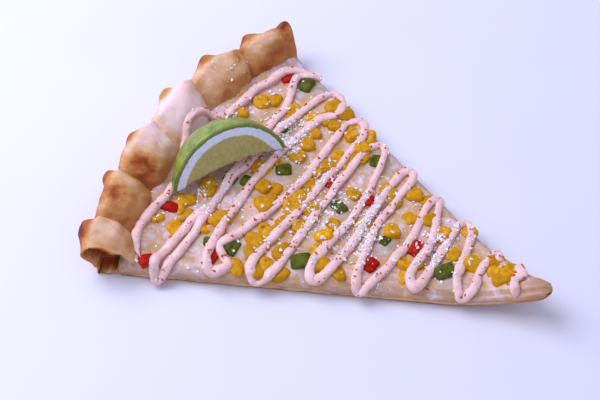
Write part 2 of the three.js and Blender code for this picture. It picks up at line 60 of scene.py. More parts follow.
# Dough base and rim
BASE_THICKNESS = 4.6
BASE_RADIUS = 186
RIM_CREST = 196  # the rim is highest well outside its middle, and slopes gently inwards
RIM_FOOT = 180.5
RIM_OUTER = 5.6
RIM_WAIST = 9
RIM_TUCK = 3
RIM_RISE = 13.2
FAR_SHRINK = 9  # the crest runs inwards towards the far end
FAR_SHRINK_START = degrees(5)
FAR_SHRINK_END = degrees(27)
LOBE_EDGES = degrees(np.array([-27, -17.8, -10.1, -1.5, 7.4, 16.6, 23.4, 31]))
LOBE_MIDDLES = 0.5 * (LOBE_EDGES[1:] + LOBE_EDGES[:-1])
LOBE_SIZES = np.array([1.02, 0.98, 1.05, 1, 0.98, 0.98, 1])
LOBE_LIPS = np.array([1, 0.9, 0.2, 0.8, 1, 0.3, 0.3])  # how far a lobe ends in a lip, not in a soft slope
LOBE_CREASES = np.array([1, 0.95, 0.65, 1, 0.95, 0.3, 0.3])  # how deep the crease at its far end is
LOBE_TWIST = degrees(1.1)
LOBE_BOW = degrees(1.3)  # the folds run back at their outer ends too
BOW_FADE = (0.2, 0.95)
LOBE_WANDER = degrees(0.55)
LOBE_SWELL = 0.46
LOBE_MEAN = 0.64
OUTER_DIP = 1.2  # the outer side draws in between the knobs
LOBE_FACING = degrees(108)
LOBE_FADE = (-0.35, 0.6)
DEEP_FADE = (-0.95, 0.3)
CREASE_FEET = np.array([1, 0.25, 0.1, 0.9, 0.3, 0.2, 0.2])  # how far a crease reaches the foot of the rim
LOBE_RISES = np.array([0.7, 0.55, 0.34, 0.7, 0.6, 0.5, 0.5])  # the share of the way to a lobe's bulge
LOBE_PLUMPNESS = 0.85
LIP_START = 0.6
LIP_PLUMPNESS = 0.8
SLOPE_START = 0.45
LIP_FORWARD = degrees(0.3)  # how far a lobe's lip hangs over the next lobe
LIP_TUCK = degrees(0.5)  # and how far the crease runs back under it
NEAR_DROP = 0.26  # the first lobe sinks towards its cut end
NEAR_DROP_END = degrees(-20)
INNER_SLOPE = 0.35
UNDERCUT = 3.2  # the outer side draws in below the knobs
UNDERCUT_FADE = (-0.45, 0.3)
NEAR_UNDERCUT = 1.5  # and more at the near end
KNOB_ARM = 13
KNOB_BLUNTNESS = 3
SHOULDER = {"share": 0.4, "along": 2.2, "size": 1.5}  # each knob stands on a wider swelling
# Knobs: angle along the rim and turn round its section in degrees, then size and height
KNOBS = (
    (-20.8, 148, 5.2, 3.4), (-12.6, 146, 4.0, 2.4), (-5.8, 140, 4.4, 2.2), (2.9, 146, 4.4, 3.2),
    (11.0, 144, 5.0, 3.0), (18.5, 142, 4.6, 2.8), (24.4, 122, 5.0, 0.9), (22.6, 128, 6.0, 2.0),
    (15.4, 112, 4.2, 1.6), (5.2, 85, 6.0, 0.9),
)
FAR_FLARE = degrees(0.4)  # the far cut swings out across the rim
HOLLOW = {"deep": 8, "edge": 0.93, "slope": 0.12, "outer_wall": 0.2, "wall_reach": 0.5}

# Cheese layer
GAP = 0.3
CHEESE_THICKNESS = 3.2
CHEESE_EDGE_WIDTH = 6
CHEESE_EDGE_DROP = 0.9
RIPPLE = {"height": 0.45, "along": 0.31, "across": 0.29, "skew": 0.15}

# Corn kernels, in rows: distance along the slice, then places across it
KERNEL = {"length": 4.5, "width": 3.75, "height": 2.4, "sunk": 2.1, "taper": 0.22, "stray": 0.8}
KERNEL_SIZES = (0.88, 1.12)
CORN_SEED = 11
CORN_ROWS = (
    (177, (37,)),
    (170, (-46, 26)),
    (164, (-38, -31, 38)),
    (160, (-20, 42)),
    (147, (-40, 41)),
    (144, (-33, 2)),
    (137, (-7, 10, 41)),
    (132, (-16, 16, 25, 33, 52)),
    (125, (-52, -35, -27, 42, 51)),
    (120, (-30, -11, -3, 5, 13)),
    (116, (-48, 41)),
    (111, (-34, -6)),
    (108, (30, 37)),
    (99, (-25, -18, -9, 10)),
    (94, (-31,)),
    (85, (-31, -4, 20)),
    (75, (1, 24)),
    (70, (10,)),
    (62, (-12, 15)),
    (53, (10,)),
    (45, (2, 17.2)),
    (33.5, (1,)),
    (26, (1, 8)),
    (20, (-2, 4)),
)
# Kernels sunk so far in the cheese that only their tops show: along, across
SUNK_CORN = (
    (146, 38), (132, 43.5), (118, 47), (108.5, 44.5), (114.5, 26.5), (106.5, 32), (108.5, 25), (141.5, 1.5),
    (116.5, 19), (132.5, -5), (158, -22), (116.5, 0.5), (131, -11.5), (68.5, 24.5), (80.5, 16.5),
    (159.5, -38.5), (109.5, -9.5), (119, -19), (143, -33), (111.5, -17.5), (83, -2.5), (159, -47),
    (119, -25.5), (142.5, -38.5), (124, -42), (58, -10.5), (113.5, -43.5), (106.5, -43.5), (18.5, 6),
    (59, -18.5),
)
SUNK_DEEPER = 1.0

# Sauce strand: the turns at both cut sides, with the thickness before, at and after a turn, their places
# along the slice, half widths, depths and how far each passes the side, then any further bends before and
# after a turn: along, across and, where it isn't 1, the thickness
STRAND_WIDTH = 4.3
STRAND_HEIGHT = 3.2
STRAND_SUNK = 0.5
STRAND_BREAK = 0.05  # the strand's thickness where it is all but broken
NEAR_TURNS = {
    "side": -1,
    "fullness": (1.0, 1.15, 1.06),
    "places": (154, 133.5, 115, 93, 73.7, 54, 33.5, 12.2),
    "halves": (2.7, 5.2, 4.4, 3.5, 3, 3.2, 3.6, 2),
    "depths": (4, 6, 4, 3.5, 4, 3.5, 4, 2.4),
    "overs": (2.6, -1.2, 1, -1.5, 1, -2.5, 0.6, 1.4),
    "leads": {0: [(151.5, -27), (155, -40), (156, -55)], 1: [(140.6, -43.5)]},
    "loops": {1: [(136.4, -46.3), (134.2, -40)]},
}
FAR_TURNS = {
    "side": 1,
    "fullness": (0.88, 0.92, 0.86),
    "places": (149.4, 134.3, 116, 100.5, 82, 63.7, 45.8, 27.8),
    "halves": (1.8, 5, 4.5, 3.5, 3, 2, 3, 1.6),
    "depths": (2, 4, 4, 4, 3.5, 4, 3.5, 3),
    "overs": (1.3, 1.5, -1, -2, -1, -1, 1.5, -0.3),
    "leads": {},
    "loops": {0: [(157, 60), (152.8, 42)], 1: [(127.8, 49), (134, 40)],
              7: [(23.6, 10, STRAND_BREAK), (19.6, 8.8, STRAND_BREAK), (16.9, 7.2), (14.4, 4.2)]},
}
TURN_LEAST_INSIDE = 0.35
STROKE_FULLNESS = 0.9
# How far the middle of each stroke between two turns is drawn towards the rim
STROKE_BOWS = (2, 5.5, 4.8, -4.2, -0.5, 0.6, -3.9, -1, 3.1, -3.5, -3.4, 0.2, 0.2, 0.9, 1.2)
# The first stroke, along the foot of the rim
RIM_STROKE = (
    (162.5, -69), (169.5, -63.5), (173, -55), (173.2, -46.5), (172, -33.5), (175.5, -17), (181.5, -5),
    (185, 4), (182, 14), (175.5, 18.5), (173, 29), (171, 43), (167.6, 51), (164.5, 59), (158, 64.2),
)
STRAND_DRAPE = 0.25  # how fast a turn sags past the near cut side
STRAND_RIDE = 0.5  # the share of a kernel's height that the strand climbs over it
STRAND_RIDE_REACH = 6

# Diced peppers: place along and across, then the edge length
RED_DICE = (
    (168, -39.5, 8.5), (160.5, -68, 7.5), (136.5, -52, 7.5), (110, 10, 8), (90, 10.4, 7.5),
    (60, -3, 8.5), (74, -20.5, 8), (161, 57.5, 7), (148, -37, 5.5),
)
GREEN_DICE = (
    (150.5, 59, 9), (147, 28, 6.5), (134, 6, 8), (131.5, -43.5, 8), (101.5, -34.5, 9.5), (101, 0, 8),
    (98.5, 32.6, 7.5), (74.5, -6, 6), (44, -8, 9.5), (143, -46, 5), (152.5, -11.5, 7), (145.5, -8.5, 7),
)
DICE_SEEDS = {"red": 23, "green": 37}
DICE = {"flat": 0.72, "thick": 0.62, "sunk_share": 0.45, "tilt": degrees(7)}

# Lime wedge
LIME = {"half_length": 26.8, "radius": 24.8, "nipple": 2.2, "wedge": degrees(62), "tilt": degrees(14)}
LIME_PLACE = {"along": 153.6, "across": -8.6, "z": 11.6, "heading": degrees(121.5)}
LIME_POLE_SHARPNESS = 12

# Camera of the photograph, about a point on the floor under the slice
LOOK_ALONG = 121.6
LOOK_ACROSS = 0.5
CAMERA_DISTANCE = 471.2
CAMERA_ELEVATION = degrees(53.68)
CAMERA_AZIMUTH = degrees(27.915)
CAMERA_ROLL = degrees(1.9)
CAMERA_LENS = 60
CAMERA_SENSOR = 36


# Numbers

def lerp(start, end, share):
    return start + (end - start) * share


def smoothstep(value, low, high):
    share = np.clip((value - low) / (high - low), 0, 1)
    return share * share * (3 - 2 * share)


def bell(distance, reach):
    return np.exp(-((distance / reach) ** 2))


WORD = 0xFFFFFFFF
DRAW_STEP = 0x6D2B79F5
SEED_SHIFT = Vector((7.3, 3.1, 5.7))


def seeded_draws(seed):
    """The solids' own random draws, from 0 to 1"""
    state = seed

    def draw():
        nonlocal state
        state = (state + DRAW_STEP) & WORD
        mixed = (state ^ (state >> 15)) * (state | 1) & WORD
        mixed ^= (mixed + ((mixed ^ (mixed >> 7)) * (mixed | 61) & WORD)) & WORD
        return (mixed ^ (mixed >> 14)) / (WORD + 1)

    return draw


def either_way(draw):
    """The next draw, from -1 to 1"""
    return 2 * draw() - 1


def relief(points, size, seed):
    """Smooth noise from -1 to 1 at each point, with bumps of about the given size"""
    shift = SEED_SHIFT * seed
    rows = (np.asarray(points).reshape(-1, 3) / size).tolist()
    values = [noise.noise(Vector(row) + shift) for row in rows]
    return np.array(values).reshape(np.shape(points)[:-1])


def layered_relief(points, layers, further=0):
    """Several reliefs in one, each given by its height, size and seed"""
    return sum(height * relief(points, size, seed + further) for height, size, seed in layers)


def jitter(points, layers, further=0):
    """A shift of each point, with a relief of its own in each direction"""
    return np.stack([layered_relief(points, layers, further + axis) for axis in range(3)], axis=-1)


# Places

def spot(along, across, z):
    along, across, z = np.broadcast_arrays(along, across, z)
    return np.stack([MIDDLE - along, across - ASIDE, z], axis=-1).astype(float)


def polar_spot(radius, angle, z):
    return spot(radius * np.cos(angle), radius * np.sin(angle), z)


def plan_of(points):
    return MIDDLE - points[..., 0], points[..., 1] + ASIDE


def polar_of(points):
    along, across = plan_of(points)
    return np.hypot(along, across), np.arctan2(across, along)


def tip_lift(along):
    return TIP_LIFT * np.maximum(0, 1 - along / LIFT_LENGTH) ** 2


def wedge_radius(share, angle, outer):
    nose = NOSE_RADIUS + NOSE_ROUNDING * (angle / HALF_ANGLE) ** 2
    return lerp(nose, outer, share ** ROW_CROWDING)


def wedge_along(radius, angle):
    return radius * np.cos(angle) - TIP_STRETCH * np.exp(-radius / TIP_STRETCH_LENGTH)


def cheese_height(radius, angle):
    along = radius * np.cos(angle)
    across = radius * np.sin(angle)
    lengthways = np.sin(RIPPLE["along"] * along + RIPPLE["skew"] * across)
    sideways = np.cos(RIPPLE["across"] * across - RIPPLE["skew"] * along)
    edge_share = np.abs(angle) / HALF_ANGLE
    edge = smoothstep(edge_share, 1 - CHEESE_EDGE_WIDTH / np.maximum(radius, CHEESE_EDGE_WIDTH), 1)
    flat = BASE_THICKNESS + GAP + CHEESE_THICKNESS
    return flat + RIPPLE["height"] * lengthways * sideways - CHEESE_EDGE_DROP * edge


def cheese_top(along, across):
    angle = np.clip(np.arctan2(across, along), -HALF_ANGLE, HALF_ANGLE)
    return tip_lift(along) + cheese_height(np.hypot(along, across), angle)


def kernel_places():
    draw = seeded_draws(CORN_SEED)
    places = []
    for along, row in CORN_ROWS:
        for across in row:
            places.append({
                "along": along + KERNEL["stray"] * either_way(draw),
                "across": across + KERNEL["stray"] * either_way(draw),
                "heading": 2 * np.pi * draw(),
                "size": lerp(*KERNEL_SIZES, draw()),
            })
    return places


def sunk_places():
    draw = seeded_draws(CORN_SEED + 1)
    places = []
    for along, across in SUNK_CORN:
        places.append({
            "along": along,
            "across": across,
            "heading": 2 * np.pi * draw(),
            "size": lerp(*KERNEL_SIZES, draw()),
        })
    return places


def dice_places(rows, seed):
    draw = seeded_draws(seed)
    places = []
    for along, across, edge in rows:
        places.append({
            "along": along,
            "across": across,
            "edge": edge,
            "heading": np.pi * draw(),
            "tilt": DICE["tilt"] * either_way(draw),
            "lean": DICE["tilt"] * either_way(draw),
        })
    return places


KERNELS = kernel_places()
SUNK_KERNELS = sunk_places()
RED_PLACES = dice_places(RED_DICE, DICE_SEEDS["red"])
GREEN_PLACES = dice_places(GREEN_DICE, DICE_SEEDS["green"])


def nearness(along, across, places, reaches):
    """How near each point is to the nearest of some places, from 0 to 1, each place with its own reach"""
    near = np.zeros(np.shape(along))
    for place, reach in zip(places, reaches):
        distance = np.hypot(along - place["along"], across - place["across"])
        near = np.maximum(near, bell(distance, reach))
    return near


def search_tree(points):
    """Finds the nearest of some points"""
    tree = kdtree.KDTree(len(points))
    for index, point in enumerate(points):
        tree.insert(point, index)
    tree.balance()
    return tree


# Meshes

def new_object(name, data):
    thing = bpy.data.objects.new(name, data)
    bpy.context.scene.collection.objects.link(thing)
    return thing


def mesh_piece(name, points, faces):
    mesh = bpy.data.meshes.new(name)
    mesh.from_pydata((np.asarray(points).reshape(-1, 3) * MM).tolist(), [], faces)
    mesh.shade_smooth()
    return new_object(name, mesh)


def corner_values(piece, kind):
    flat = np.zeros(3 * len(piece.data.vertices), np.float32)
    piece.data.vertices.foreach_get(kind, flat)
    return flat.reshape(-1, 3).astype(float)


def points_of(piece):
    return corner_values(piece, "co") / MM


def normals_of(piece):
    return corner_values(piece, "normal")


def move_points(piece, points):
    piece.data.vertices.foreach_set("co", (points * MM).astype(np.float32).ravel())
    piece.data.update()


def paint(piece, name, values):
    """A number for each corner of the mesh, which its finish or its growth reads"""
    layer = piece.data.attributes.new(name, "FLOAT", "POINT")
    layer.data.foreach_set("value", np.asarray(values, np.float32).ravel())


def facing_out(points, faces):
    """The faces, turned round if the closed skin that they make is inside out"""
    volume = 0
    for face in faces:
        corner = points[face[0]]
        for second, third in zip(face[1:-1], face[2:]):
            volume += corner @ np.cross(points[second], points[third])
    return faces if volume > 0 else [face[::-1] for face in faces]


def loft(loops):
    """A closed skin over rows of closed loops, with a fan of faces at each end"""
    rows, count = loops.shape[:2]
    points = np.concatenate([loops.reshape(-1, 3), [loops[0].mean(0)], [loops[-1].mean(0)]])
    first_hub = rows * count
    faces = []
    for row in range(rows - 1):
        for column in range(count):
            after = (column + 1) % count
            here = row * count
            faces.append([here + column, here + after, here + count + after, here + count + column])
    for column in range(count):
        after = (column + 1) % count
        faces.append([after, column, first_hub])
        last = (rows - 1) * count
        faces.append([last + column, last + after, first_hub + 1])
    return points, facing_out(points, faces)


def drop_object(thing):
    mesh = thing.data
    bpy.data.objects.remove(thing)
    bpy.data.meshes.remove(mesh)


def evaluated_mesh(piece):
    bpy.context.view_layer.update()
    graph = bpy.context.evaluated_depsgraph_get()
    return bpy.data.meshes.new_from_object(piece.evaluated_get(graph))


def settle(piece):
    """Makes the result of the piece's modifiers its own mesh and removes them"""
    made = evaluated_mesh(piece)
    piece.modifiers.clear()
    old = piece.data
    piece.data = made
    bpy.data.meshes.remove(old)
    made.name = piece.name


def unite(piece, other):
    """Joins another closed piece to this one as one skin"""
    joint = piece.modifiers.new("unite", "BOOLEAN")
    joint.operation = "UNION"
    joint.solver = "MANIFOLD"
    joint.object = other
    settle(piece)
    drop_object(other)
    piece.data.shade_smooth()


def hand_over(piece, slot, *nodes):
    """Rides the finished piece on the slice, in place of the solids that it stands for"""
    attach(piece, "root")
    if nodes:
        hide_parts(*nodes)


# Nodes

class NodeTree:
    """Short ways to add a tree's nodes and to feed their sockets"""

    def add(self, kind, inputs=None, **settings):
        node = self.tree.nodes.new(kind)
        for label, value in settings.items():
            setattr(node, label, value)
        for label, value in (inputs or {}).items():
            self.feed(node.inputs[label], value)
        return node

    def feed(self, socket, value):
        if isinstance(value, bpy.types.NodeSocket):
            self.tree.links.new(value, socket)
        else:
            socket.default_value = value


# Finishes

MIX_COLOURS = (6, 7)  # a Mix node's colour sockets, among those of its other kinds
MIX_RESULT = 2
NOISE_SPAN = (0.3, 0.7)  # where most of a noise's values lie
SOFT = (1.0, 0.75, 0.6)  # how far red, green and blue light spread under a pale skin


class Finish(NodeTree):
    """A material's nodes, with sizes in millimetres on the piece's own coordinates"""

    def __init__(self, name, **shader_values):
        self.material = bpy.data.materials.new(name)
        self.material.use_nodes = True
        self.tree = self.material.node_tree
        self.tree.nodes.clear()
        self.shader = self.add("ShaderNodeBsdfPrincipled")
        for label, value in shader_values.items():
            self.shader.inputs[label.replace("_", " ")].default_value = value
        output = self.add("ShaderNodeOutputMaterial")
        self.feed(output.inputs["Surface"], self.shader.outputs["BSDF"])
        self.place = self.add("ShaderNodeTexCoord").outputs["Object"]
        self.last_bump = None

    def noise(self, size, detail=3.0, roughness=0.5, distortion=0.0):
        node = self.add("ShaderNodeTexNoise", {
            "Vector": self.place, "Scale": 1 / (size * MM), "Detail": detail,
            "Roughness": roughness, "Distortion": distortion,
        })
        return node.outputs["Fac"]

    def cells(self, size):
        node = self.add("ShaderNodeTexVoronoi", {"Vector": self.place, "Scale": 1 / (size * MM)})
        return node.outputs["Distance"]

    def attribute(self, name):
        return self.add("ShaderNodeAttribute", attribute_name=name).outputs["Fac"]

    def math(self, operation, first, second, clamp=False):
        node = self.add("ShaderNodeMath", {0: first, 1: second}, operation=operation, use_clamp=clamp)
        return node.outputs[0]

    def swing(self, value, amount):
        """A value from 0 to 1 as a swing to both sides of nought"""
        return self.math("MULTIPLY", self.math("SUBTRACT", value, 0.5), amount)

    def span(self, value, low, high, to_low=0.0, to_high=1.0):
        node = self.add("ShaderNodeMapRange", {
            "Value": value, "From Min": low, "From Max": high, "To Min": to_low, "To Max": to_high,
        })
        return node.outputs["Result"]

    def ramp(self, value, stops):
        node = self.add("ShaderNodeValToRGB", {"Fac": value})
        elements = node.color_ramp.elements
        while len(elements) < len(stops):
            elements.new(0.5)
        for element, (position, colour) in zip(elements, stops):
            element.position = position
            element.color = (*colour, 1)
        return node.outputs["Color"]

    def blend(self, share, first, second):
        node = self.add("ShaderNodeMix", {0: share}, data_type="RGBA")
        for index, value in zip(MIX_COLOURS, (first, second)):
            self.feed(node.inputs[index], (*value, 1) if isinstance(value, tuple) else value)
        return node.outputs[MIX_RESULT]

    def bump(self, height, depth, strength):
        node = self.add("ShaderNodeBump", {"Height": height, "Distance": depth * MM, "Strength": strength})
        if self.last_bump:
            self.feed(node.inputs["Normal"], self.last_bump)
        self.last_bump = node.outputs["Normal"]

    def done(self, colour, roughness):
        self.feed(self.shader.inputs["Base Color"], colour)
        self.feed(self.shader.inputs["Roughness"], roughness)
        if self.last_bump:
            self.feed(self.shader.inputs["Normal"], self.last_bump)
        return self.material


def crust_finish():
    """Baked dough: pale where it rose last, through tan to dark browned spots, darker too where the level
    holds painted shade in the rim's creases, hollow, steep sides and foot
    """
    finish = Finish("baked_dough", Subsurface_Weight=0.06, Subsurface_Scale=0.002, Specular_IOR_Level=0.15)
    mottle = finish.swing(finish.noise(7, detail=4), 0.2)
    grain = finish.swing(finish.noise(1.3, detail=5, roughness=0.6), 0.16)
    # The level holds browning and painted shade together
    level = finish.math("ADD", finish.attribute("toast"), mottle)
    level = finish.math("ADD", level, grain, clamp=True)
    colour = finish.ramp(level, (
        (0.06, (0.95, 0.69, 0.61)), (0.2, (0.76, 0.47, 0.26)), (0.4, (0.60, 0.28, 0.08)),
        (0.62, (0.45, 0.125, 0.030)), (0.82, (0.29, 0.060, 0.014)), (1.0, (0.13, 0.025, 0.008)),
    ))
    finish.bump(finish.noise(2.6, detail=4), 0.5, 0.35)
    finish.bump(finish.noise(0.7, detail=4, roughness=0.65), 0.25, 0.3)
    return finish.done(colour, finish.span(level, 0, 1, 0.62, 0.48))


def cheese_finish():
    """Melted cheese: milky, clear and greasy patches, tan where it has browned and where shade is painted by
    the rim, tinted by what lies in it, and darker along the strand with grease and painted shadow
    """
    finish = Finish("melted_cheese", Subsurface_Weight=0.15, Subsurface_Scale=0.002, Subsurface_Radius=SOFT)
    milk = finish.noise(6, detail=4, distortion=0.5)
    colour = finish.ramp(milk, (
        (0.33, (0.50, 0.31, 0.13)), (0.45, (0.58, 0.42, 0.33)),
        (0.54, (0.71, 0.57, 0.66)), (0.65, (0.90, 0.74, 0.90)),
    ))
    fat_and_shadow = finish.math("MULTIPLY", finish.span(finish.noise(3, detail=4), 0.46, 0.62), 0.7)
    # Along the strand: grease and painted shadow together
    fat_and_shadow = finish.math("ADD", fat_and_shadow, finish.math("MULTIPLY", finish.attribute("grease"), 0.45), clamp=True)
    colour = finish.blend(fat_and_shadow, colour, (0.62, 0.36, 0.11))
    colour = finish.blend(finish.attribute("corn_stain"), colour, (0.70, 0.39, 0.09))
    colour = finish.blend(finish.attribute("green_stain"), colour, (0.30, 0.32, 0.20))
    colour = finish.blend(finish.attribute("red_stain"), colour, (0.62, 0.22, 0.12))
    # Browning, with painted shade by the rim's foot
    baked = finish.math("ADD", finish.attribute("baked"), finish.swing(finish.noise(2.2, detail=4), 0.5))
    colour = finish.blend(finish.span(baked, 0.25, 0.85), colour, (0.50, 0.27, 0.13))
    colour = finish.blend(finish.span(baked, 0.85, 1.3), colour, (0.28, 0.11, 0.035))
    finish.bump(finish.noise(3.2, detail=3), 0.6, 0.3)
    finish.bump(finish.noise(0.9, detail=2), 0.2, 0.25)
    return finish.done(colour, finish.span(milk, *NOISE_SPAN, 0.34, 0.5))


def corn_finish():
    """Cooked kernels: gold skin, each with its own tint, and amber patches"""
    finish = Finish("corn_kernels", Subsurface_Weight=0.12, Subsurface_Scale=0.002, Specular_IOR_Level=0.1)
    tint = finish.attribute("tint")
    gold = finish.blend(tint, (0.53, 0.25, 0.003), (0.82, 0.40, 0.005))
    shade = finish.noise(2.2, detail=4)
    colour = finish.blend(finish.span(shade, 0.38, 0.68, 0, 0.75), gold, (0.45, 0.19, 0.002))
    finish.bump(finish.noise(1.6, detail=3), 0.4, 0.4)
    return finish.done(colour, finish.span(shade, *NOISE_SPAN, 0.3, 0.45))


def sauce_finish():
    """Pink cream sauce, darker orange on its underside with oil and painted shade, with fine specks of
    paprika
    """
    finish = Finish("cream_sauce", Subsurface_Weight=0.15, Subsurface_Scale=0.002, Subsurface_Radius=SOFT)
    tone = finish.noise(5, detail=3)
    colour = finish.blend(finish.span(tone, *NOISE_SPAN), (0.81, 0.50, 0.42), (0.95, 0.65, 0.57))
    # The underside: oil and painted shade together
    oil_and_shade = finish.math("MULTIPLY", finish.attribute("under"), 0.55)
    colour = finish.blend(oil_and_shade, colour, (0.78, 0.42, 0.26))
    specks = finish.span(finish.cells(1.5), 0.12, 0.2, 0.6, 0)
    colour = finish.blend(specks, colour, (0.62, 0.16, 0.06))
    finish.bump(finish.noise(1.8, detail=3), 0.35, 0.3)
    return finish.done(colour, finish.span(tone, *NOISE_SPAN, 0.36, 0.5))


def crumb_finish():
    """Dry crumbled cheese"""
    finish = Finish("crumbled_cheese", Subsurface_Weight=0.15, Subsurface_Scale=0.001)
    tone = finish.noise(1.1, detail=3)
    colour = finish.blend(finish.span(tone, *NOISE_SPAN), (0.88, 0.82, 0.77), (0.97, 0.94, 0.91))
    finish.bump(tone, 0.25, 0.6)
    return finish.done(colour, finish.span(tone, *NOISE_SPAN, 0.7, 0.9))


def chilli_finish():
    """Ground chilli, from dark red to orange brown"""
    finish = Finish("chilli_flakes")
    colour = finish.blend(finish.attribute("tint"), (0.28, 0.020, 0.005), (0.54, 0.105, 0.015))
    grain = finish.noise(0.4, detail=2)
    finish.bump(grain, 0.15, 0.6)
    return finish.done(colour, finish.span(grain, *NOISE_SPAN, 0.5, 0.75))


def pepper_finish(name, dark, light, flesh):
    """Diced pepper: glossy skin above, paler flesh at the cut sides"""
    finish = Finish(name, Subsurface_Weight=0.08, Subsurface_Scale=0.002, Specular_IOR_Level=0.05)
    tone = finish.noise(3.5, detail=4)
    skin = finish.blend(finish.span(tone, 0.35, 0.65), dark, light)
    patchy = finish.span(finish.noise(1.5), *NOISE_SPAN, 0.4, 1)
    cut = finish.math("MULTIPLY", finish.attribute("cut"), patchy)
    colour = finish.blend(cut, skin, flesh)
    finish.bump(finish.noise(1.1, detail=4), 0.25, 0.35)
    return finish.done(colour, finish.span(tone, *NOISE_SPAN, 0.36, 0.52))


def lime_finish():
    """Lime: green rind with oil glands, white pith and wet khaki flesh, by the depth under the rind"""
    finish = Finish("lime", Subsurface_Weight=0.12, Subsurface_Scale=0.003,
                    Coat_Weight=0.2, Coat_Roughness=0.3)
    depth = finish.math("ADD", finish.attribute("depth"), finish.swing(finish.noise(2.5, detail=4), 1.3))
    tone = finish.noise(5, detail=6, roughness=0.65)
    outside = finish.blend(finish.span(tone, 0.35, 0.65), (0.14, 0.22, 0.012), (0.33, 0.38, 0.06))
    rind = finish.blend(finish.span(depth, 0.5, 1.1), outside, (0.13, 0.20, 0.02))
    paler = finish.span(finish.noise(2, detail=3), *NOISE_SPAN)
    pith = finish.blend(paler, (0.67, 0.83, 0.95), (0.84, 0.96, 1.0))
    vesicle = finish.math("ADD", finish.attribute("vesicle"), finish.swing(finish.noise(0.8, detail=3), 2.0))
    flesh = finish.blend(finish.span(vesicle, 0.1, 0.9), (0.40, 0.37, 0.09), (0.55, 0.52, 0.18))
    colour = finish.blend(finish.span(depth, 1.6, 2.1), rind, pith)
    colour = finish.blend(finish.span(depth, 5.7, 6.3), colour, flesh)
    glands = finish.span(finish.cells(1.5), 0.1, 0.5, 0, 1)
    skin = finish.span(depth, 0.2, 0.6, 1, 0)
    finish.bump(finish.math("MULTIPLY", glands, skin), 0.2, 0.5)
    finish.bump(finish.noise(1.4, detail=4), 0.3, 0.3)
    return finish.done(colour, finish.span(depth, 0.5, 1.5, 0.32, 0.5))


def floor_finish():
    """Plain pale floor"""
    finish = Finish("pale_floor")
    tone = finish.noise(60, detail=2)
    colour = finish.blend(finish.span(tone, *NOISE_SPAN), (0.78, 0.78, 0.79), (0.80, 0.80, 0.80))
    return finish.done(colour, finish.span(tone, *NOISE_SPAN, 0.6, 0.65))


# Crust: the rim ring, its cut ends and the dough base, joined to one skin

RIM_ROWS = 400
RIM_TURNS = 88
RIM_RELIEF = ((1.2, 13, 1), (0.8, 6, 2), (0.22, 2.2, 3))  # height, size and seed of each layer
RELIEF_START = (2, 6)  # the heights between which the rim's relief sets in
WANDER_WAVES = {"round": 2.3, "along": 9}
LIP_RISE = (0.6, 0.82)  # shares of the way along a lobe
LIP_FALL = (0.88, 1)
CREASE_WIDTH = (0, 0.2)
FEET_CHANGE = (0.3, 0.7)
FAR_FLARE_START = degrees(20)
CAP_LOOPS = 26  # the caps close the rim's two cut ends
CAP_HUB_HEIGHT = 8
CAP_LEAST = 0.03
CAP_RELIEF = ((0.5, 2.5, 9),)
CAP_RELIEF_FADE = 8
FAR_CAP_DEPTH = 0.3
HOLLOW_WAVES = ((0.05, 3, 1), (0.04, 7, 2), (0.02, 17, 0))  # of its ragged edge: height, number, start
TORN_EDGE = degrees(0.45)  # the near cut end is ragged
TORN_REACH = degrees(1.4)
TORN_RING = 4
TORN_SIZE = 1.3
TORN_SEED = 8
NOSE = {"end": -0.6, "length": 6, "height": 3.4, "least": 0.1}
TIP_CALM = (4, 26)  # the cut sides are smooth at the tip

BASE_ROWS = 150
BASE_COLUMNS = 24
BASE_SIDE_STEPS = 7
BASE_BULGE = 0.5
BASE_RELIEF = ((0.35, 3, 5), (0.3, 9, 6))


def lobe_place(angle, turn):
    """Which lobe a place on the rim is on, and its share of the way along that lobe"""
    lean = LOBE_TWIST * (0.5 + 0.5 * np.cos(turn))
    bow = LOBE_BOW * smoothstep(-np.cos(turn), *BOW_FADE)
    waves = np.sin(WANDER_WAVES["round"] * turn + WANDER_WAVES["along"] * angle)
    wander = LOBE_WANDER * waves * np.sin(0.5 * turn)
    place = angle + lean + bow + wander
    lobe = np.clip(np.searchsorted(LOBE_EDGES, place, side="right") - 1, 0, len(LOBE_SIZES) - 1)
    width = LOBE_EDGES[lobe + 1] - LOBE_EDGES[lobe]
    return lobe, np.clip((place - LOBE_EDGES[lobe]) / width, 0, 1)


def lobe_before(lobe):
    return np.maximum(lobe - 1, 0)


def rounded_fall(share, start):
    """From 1 before the start down to 0 at a share of 1"""
    return np.maximum(0, np.cos(0.5 * np.pi * np.clip((share - start) / (1 - start), 0, 1)))


def lobe_fullness(lobe, share):
    """From 0 in a full crease to 1 on top of a lobe"""
    rise = np.sin(0.5 * np.pi * np.minimum(share / LOBE_RISES[lobe], 1)) ** LOBE_PLUMPNESS
    lip = rounded_fall(share, LIP_START) ** LIP_PLUMPNESS
    fall = lerp(rounded_fall(share, SLOPE_START), lip, LOBE_LIPS[lobe])
    from_start = 1 - LOBE_CREASES[lobe_before(lobe)] * (1 - rise)
    to_end = 1 - LOBE_CREASES[lobe] * (1 - fall)
    return from_start * to_end


def lip_shift(lobe, share):
    """How far the skin is drawn along the rim: a lip forwards, and the crease back under it"""
    tucked = smoothstep(share, *LIP_FALL)
    lip = smoothstep(share, *LIP_RISE) * (1 - tucked)
    own = LIP_FORWARD * lip - LIP_TUCK * tucked
    under_last = LIP_TUCK * (1 - smoothstep(share, *CREASE_WIDTH))
    return LOBE_LIPS[lobe] * own - LOBE_LIPS[lobe_before(lobe)] * under_last


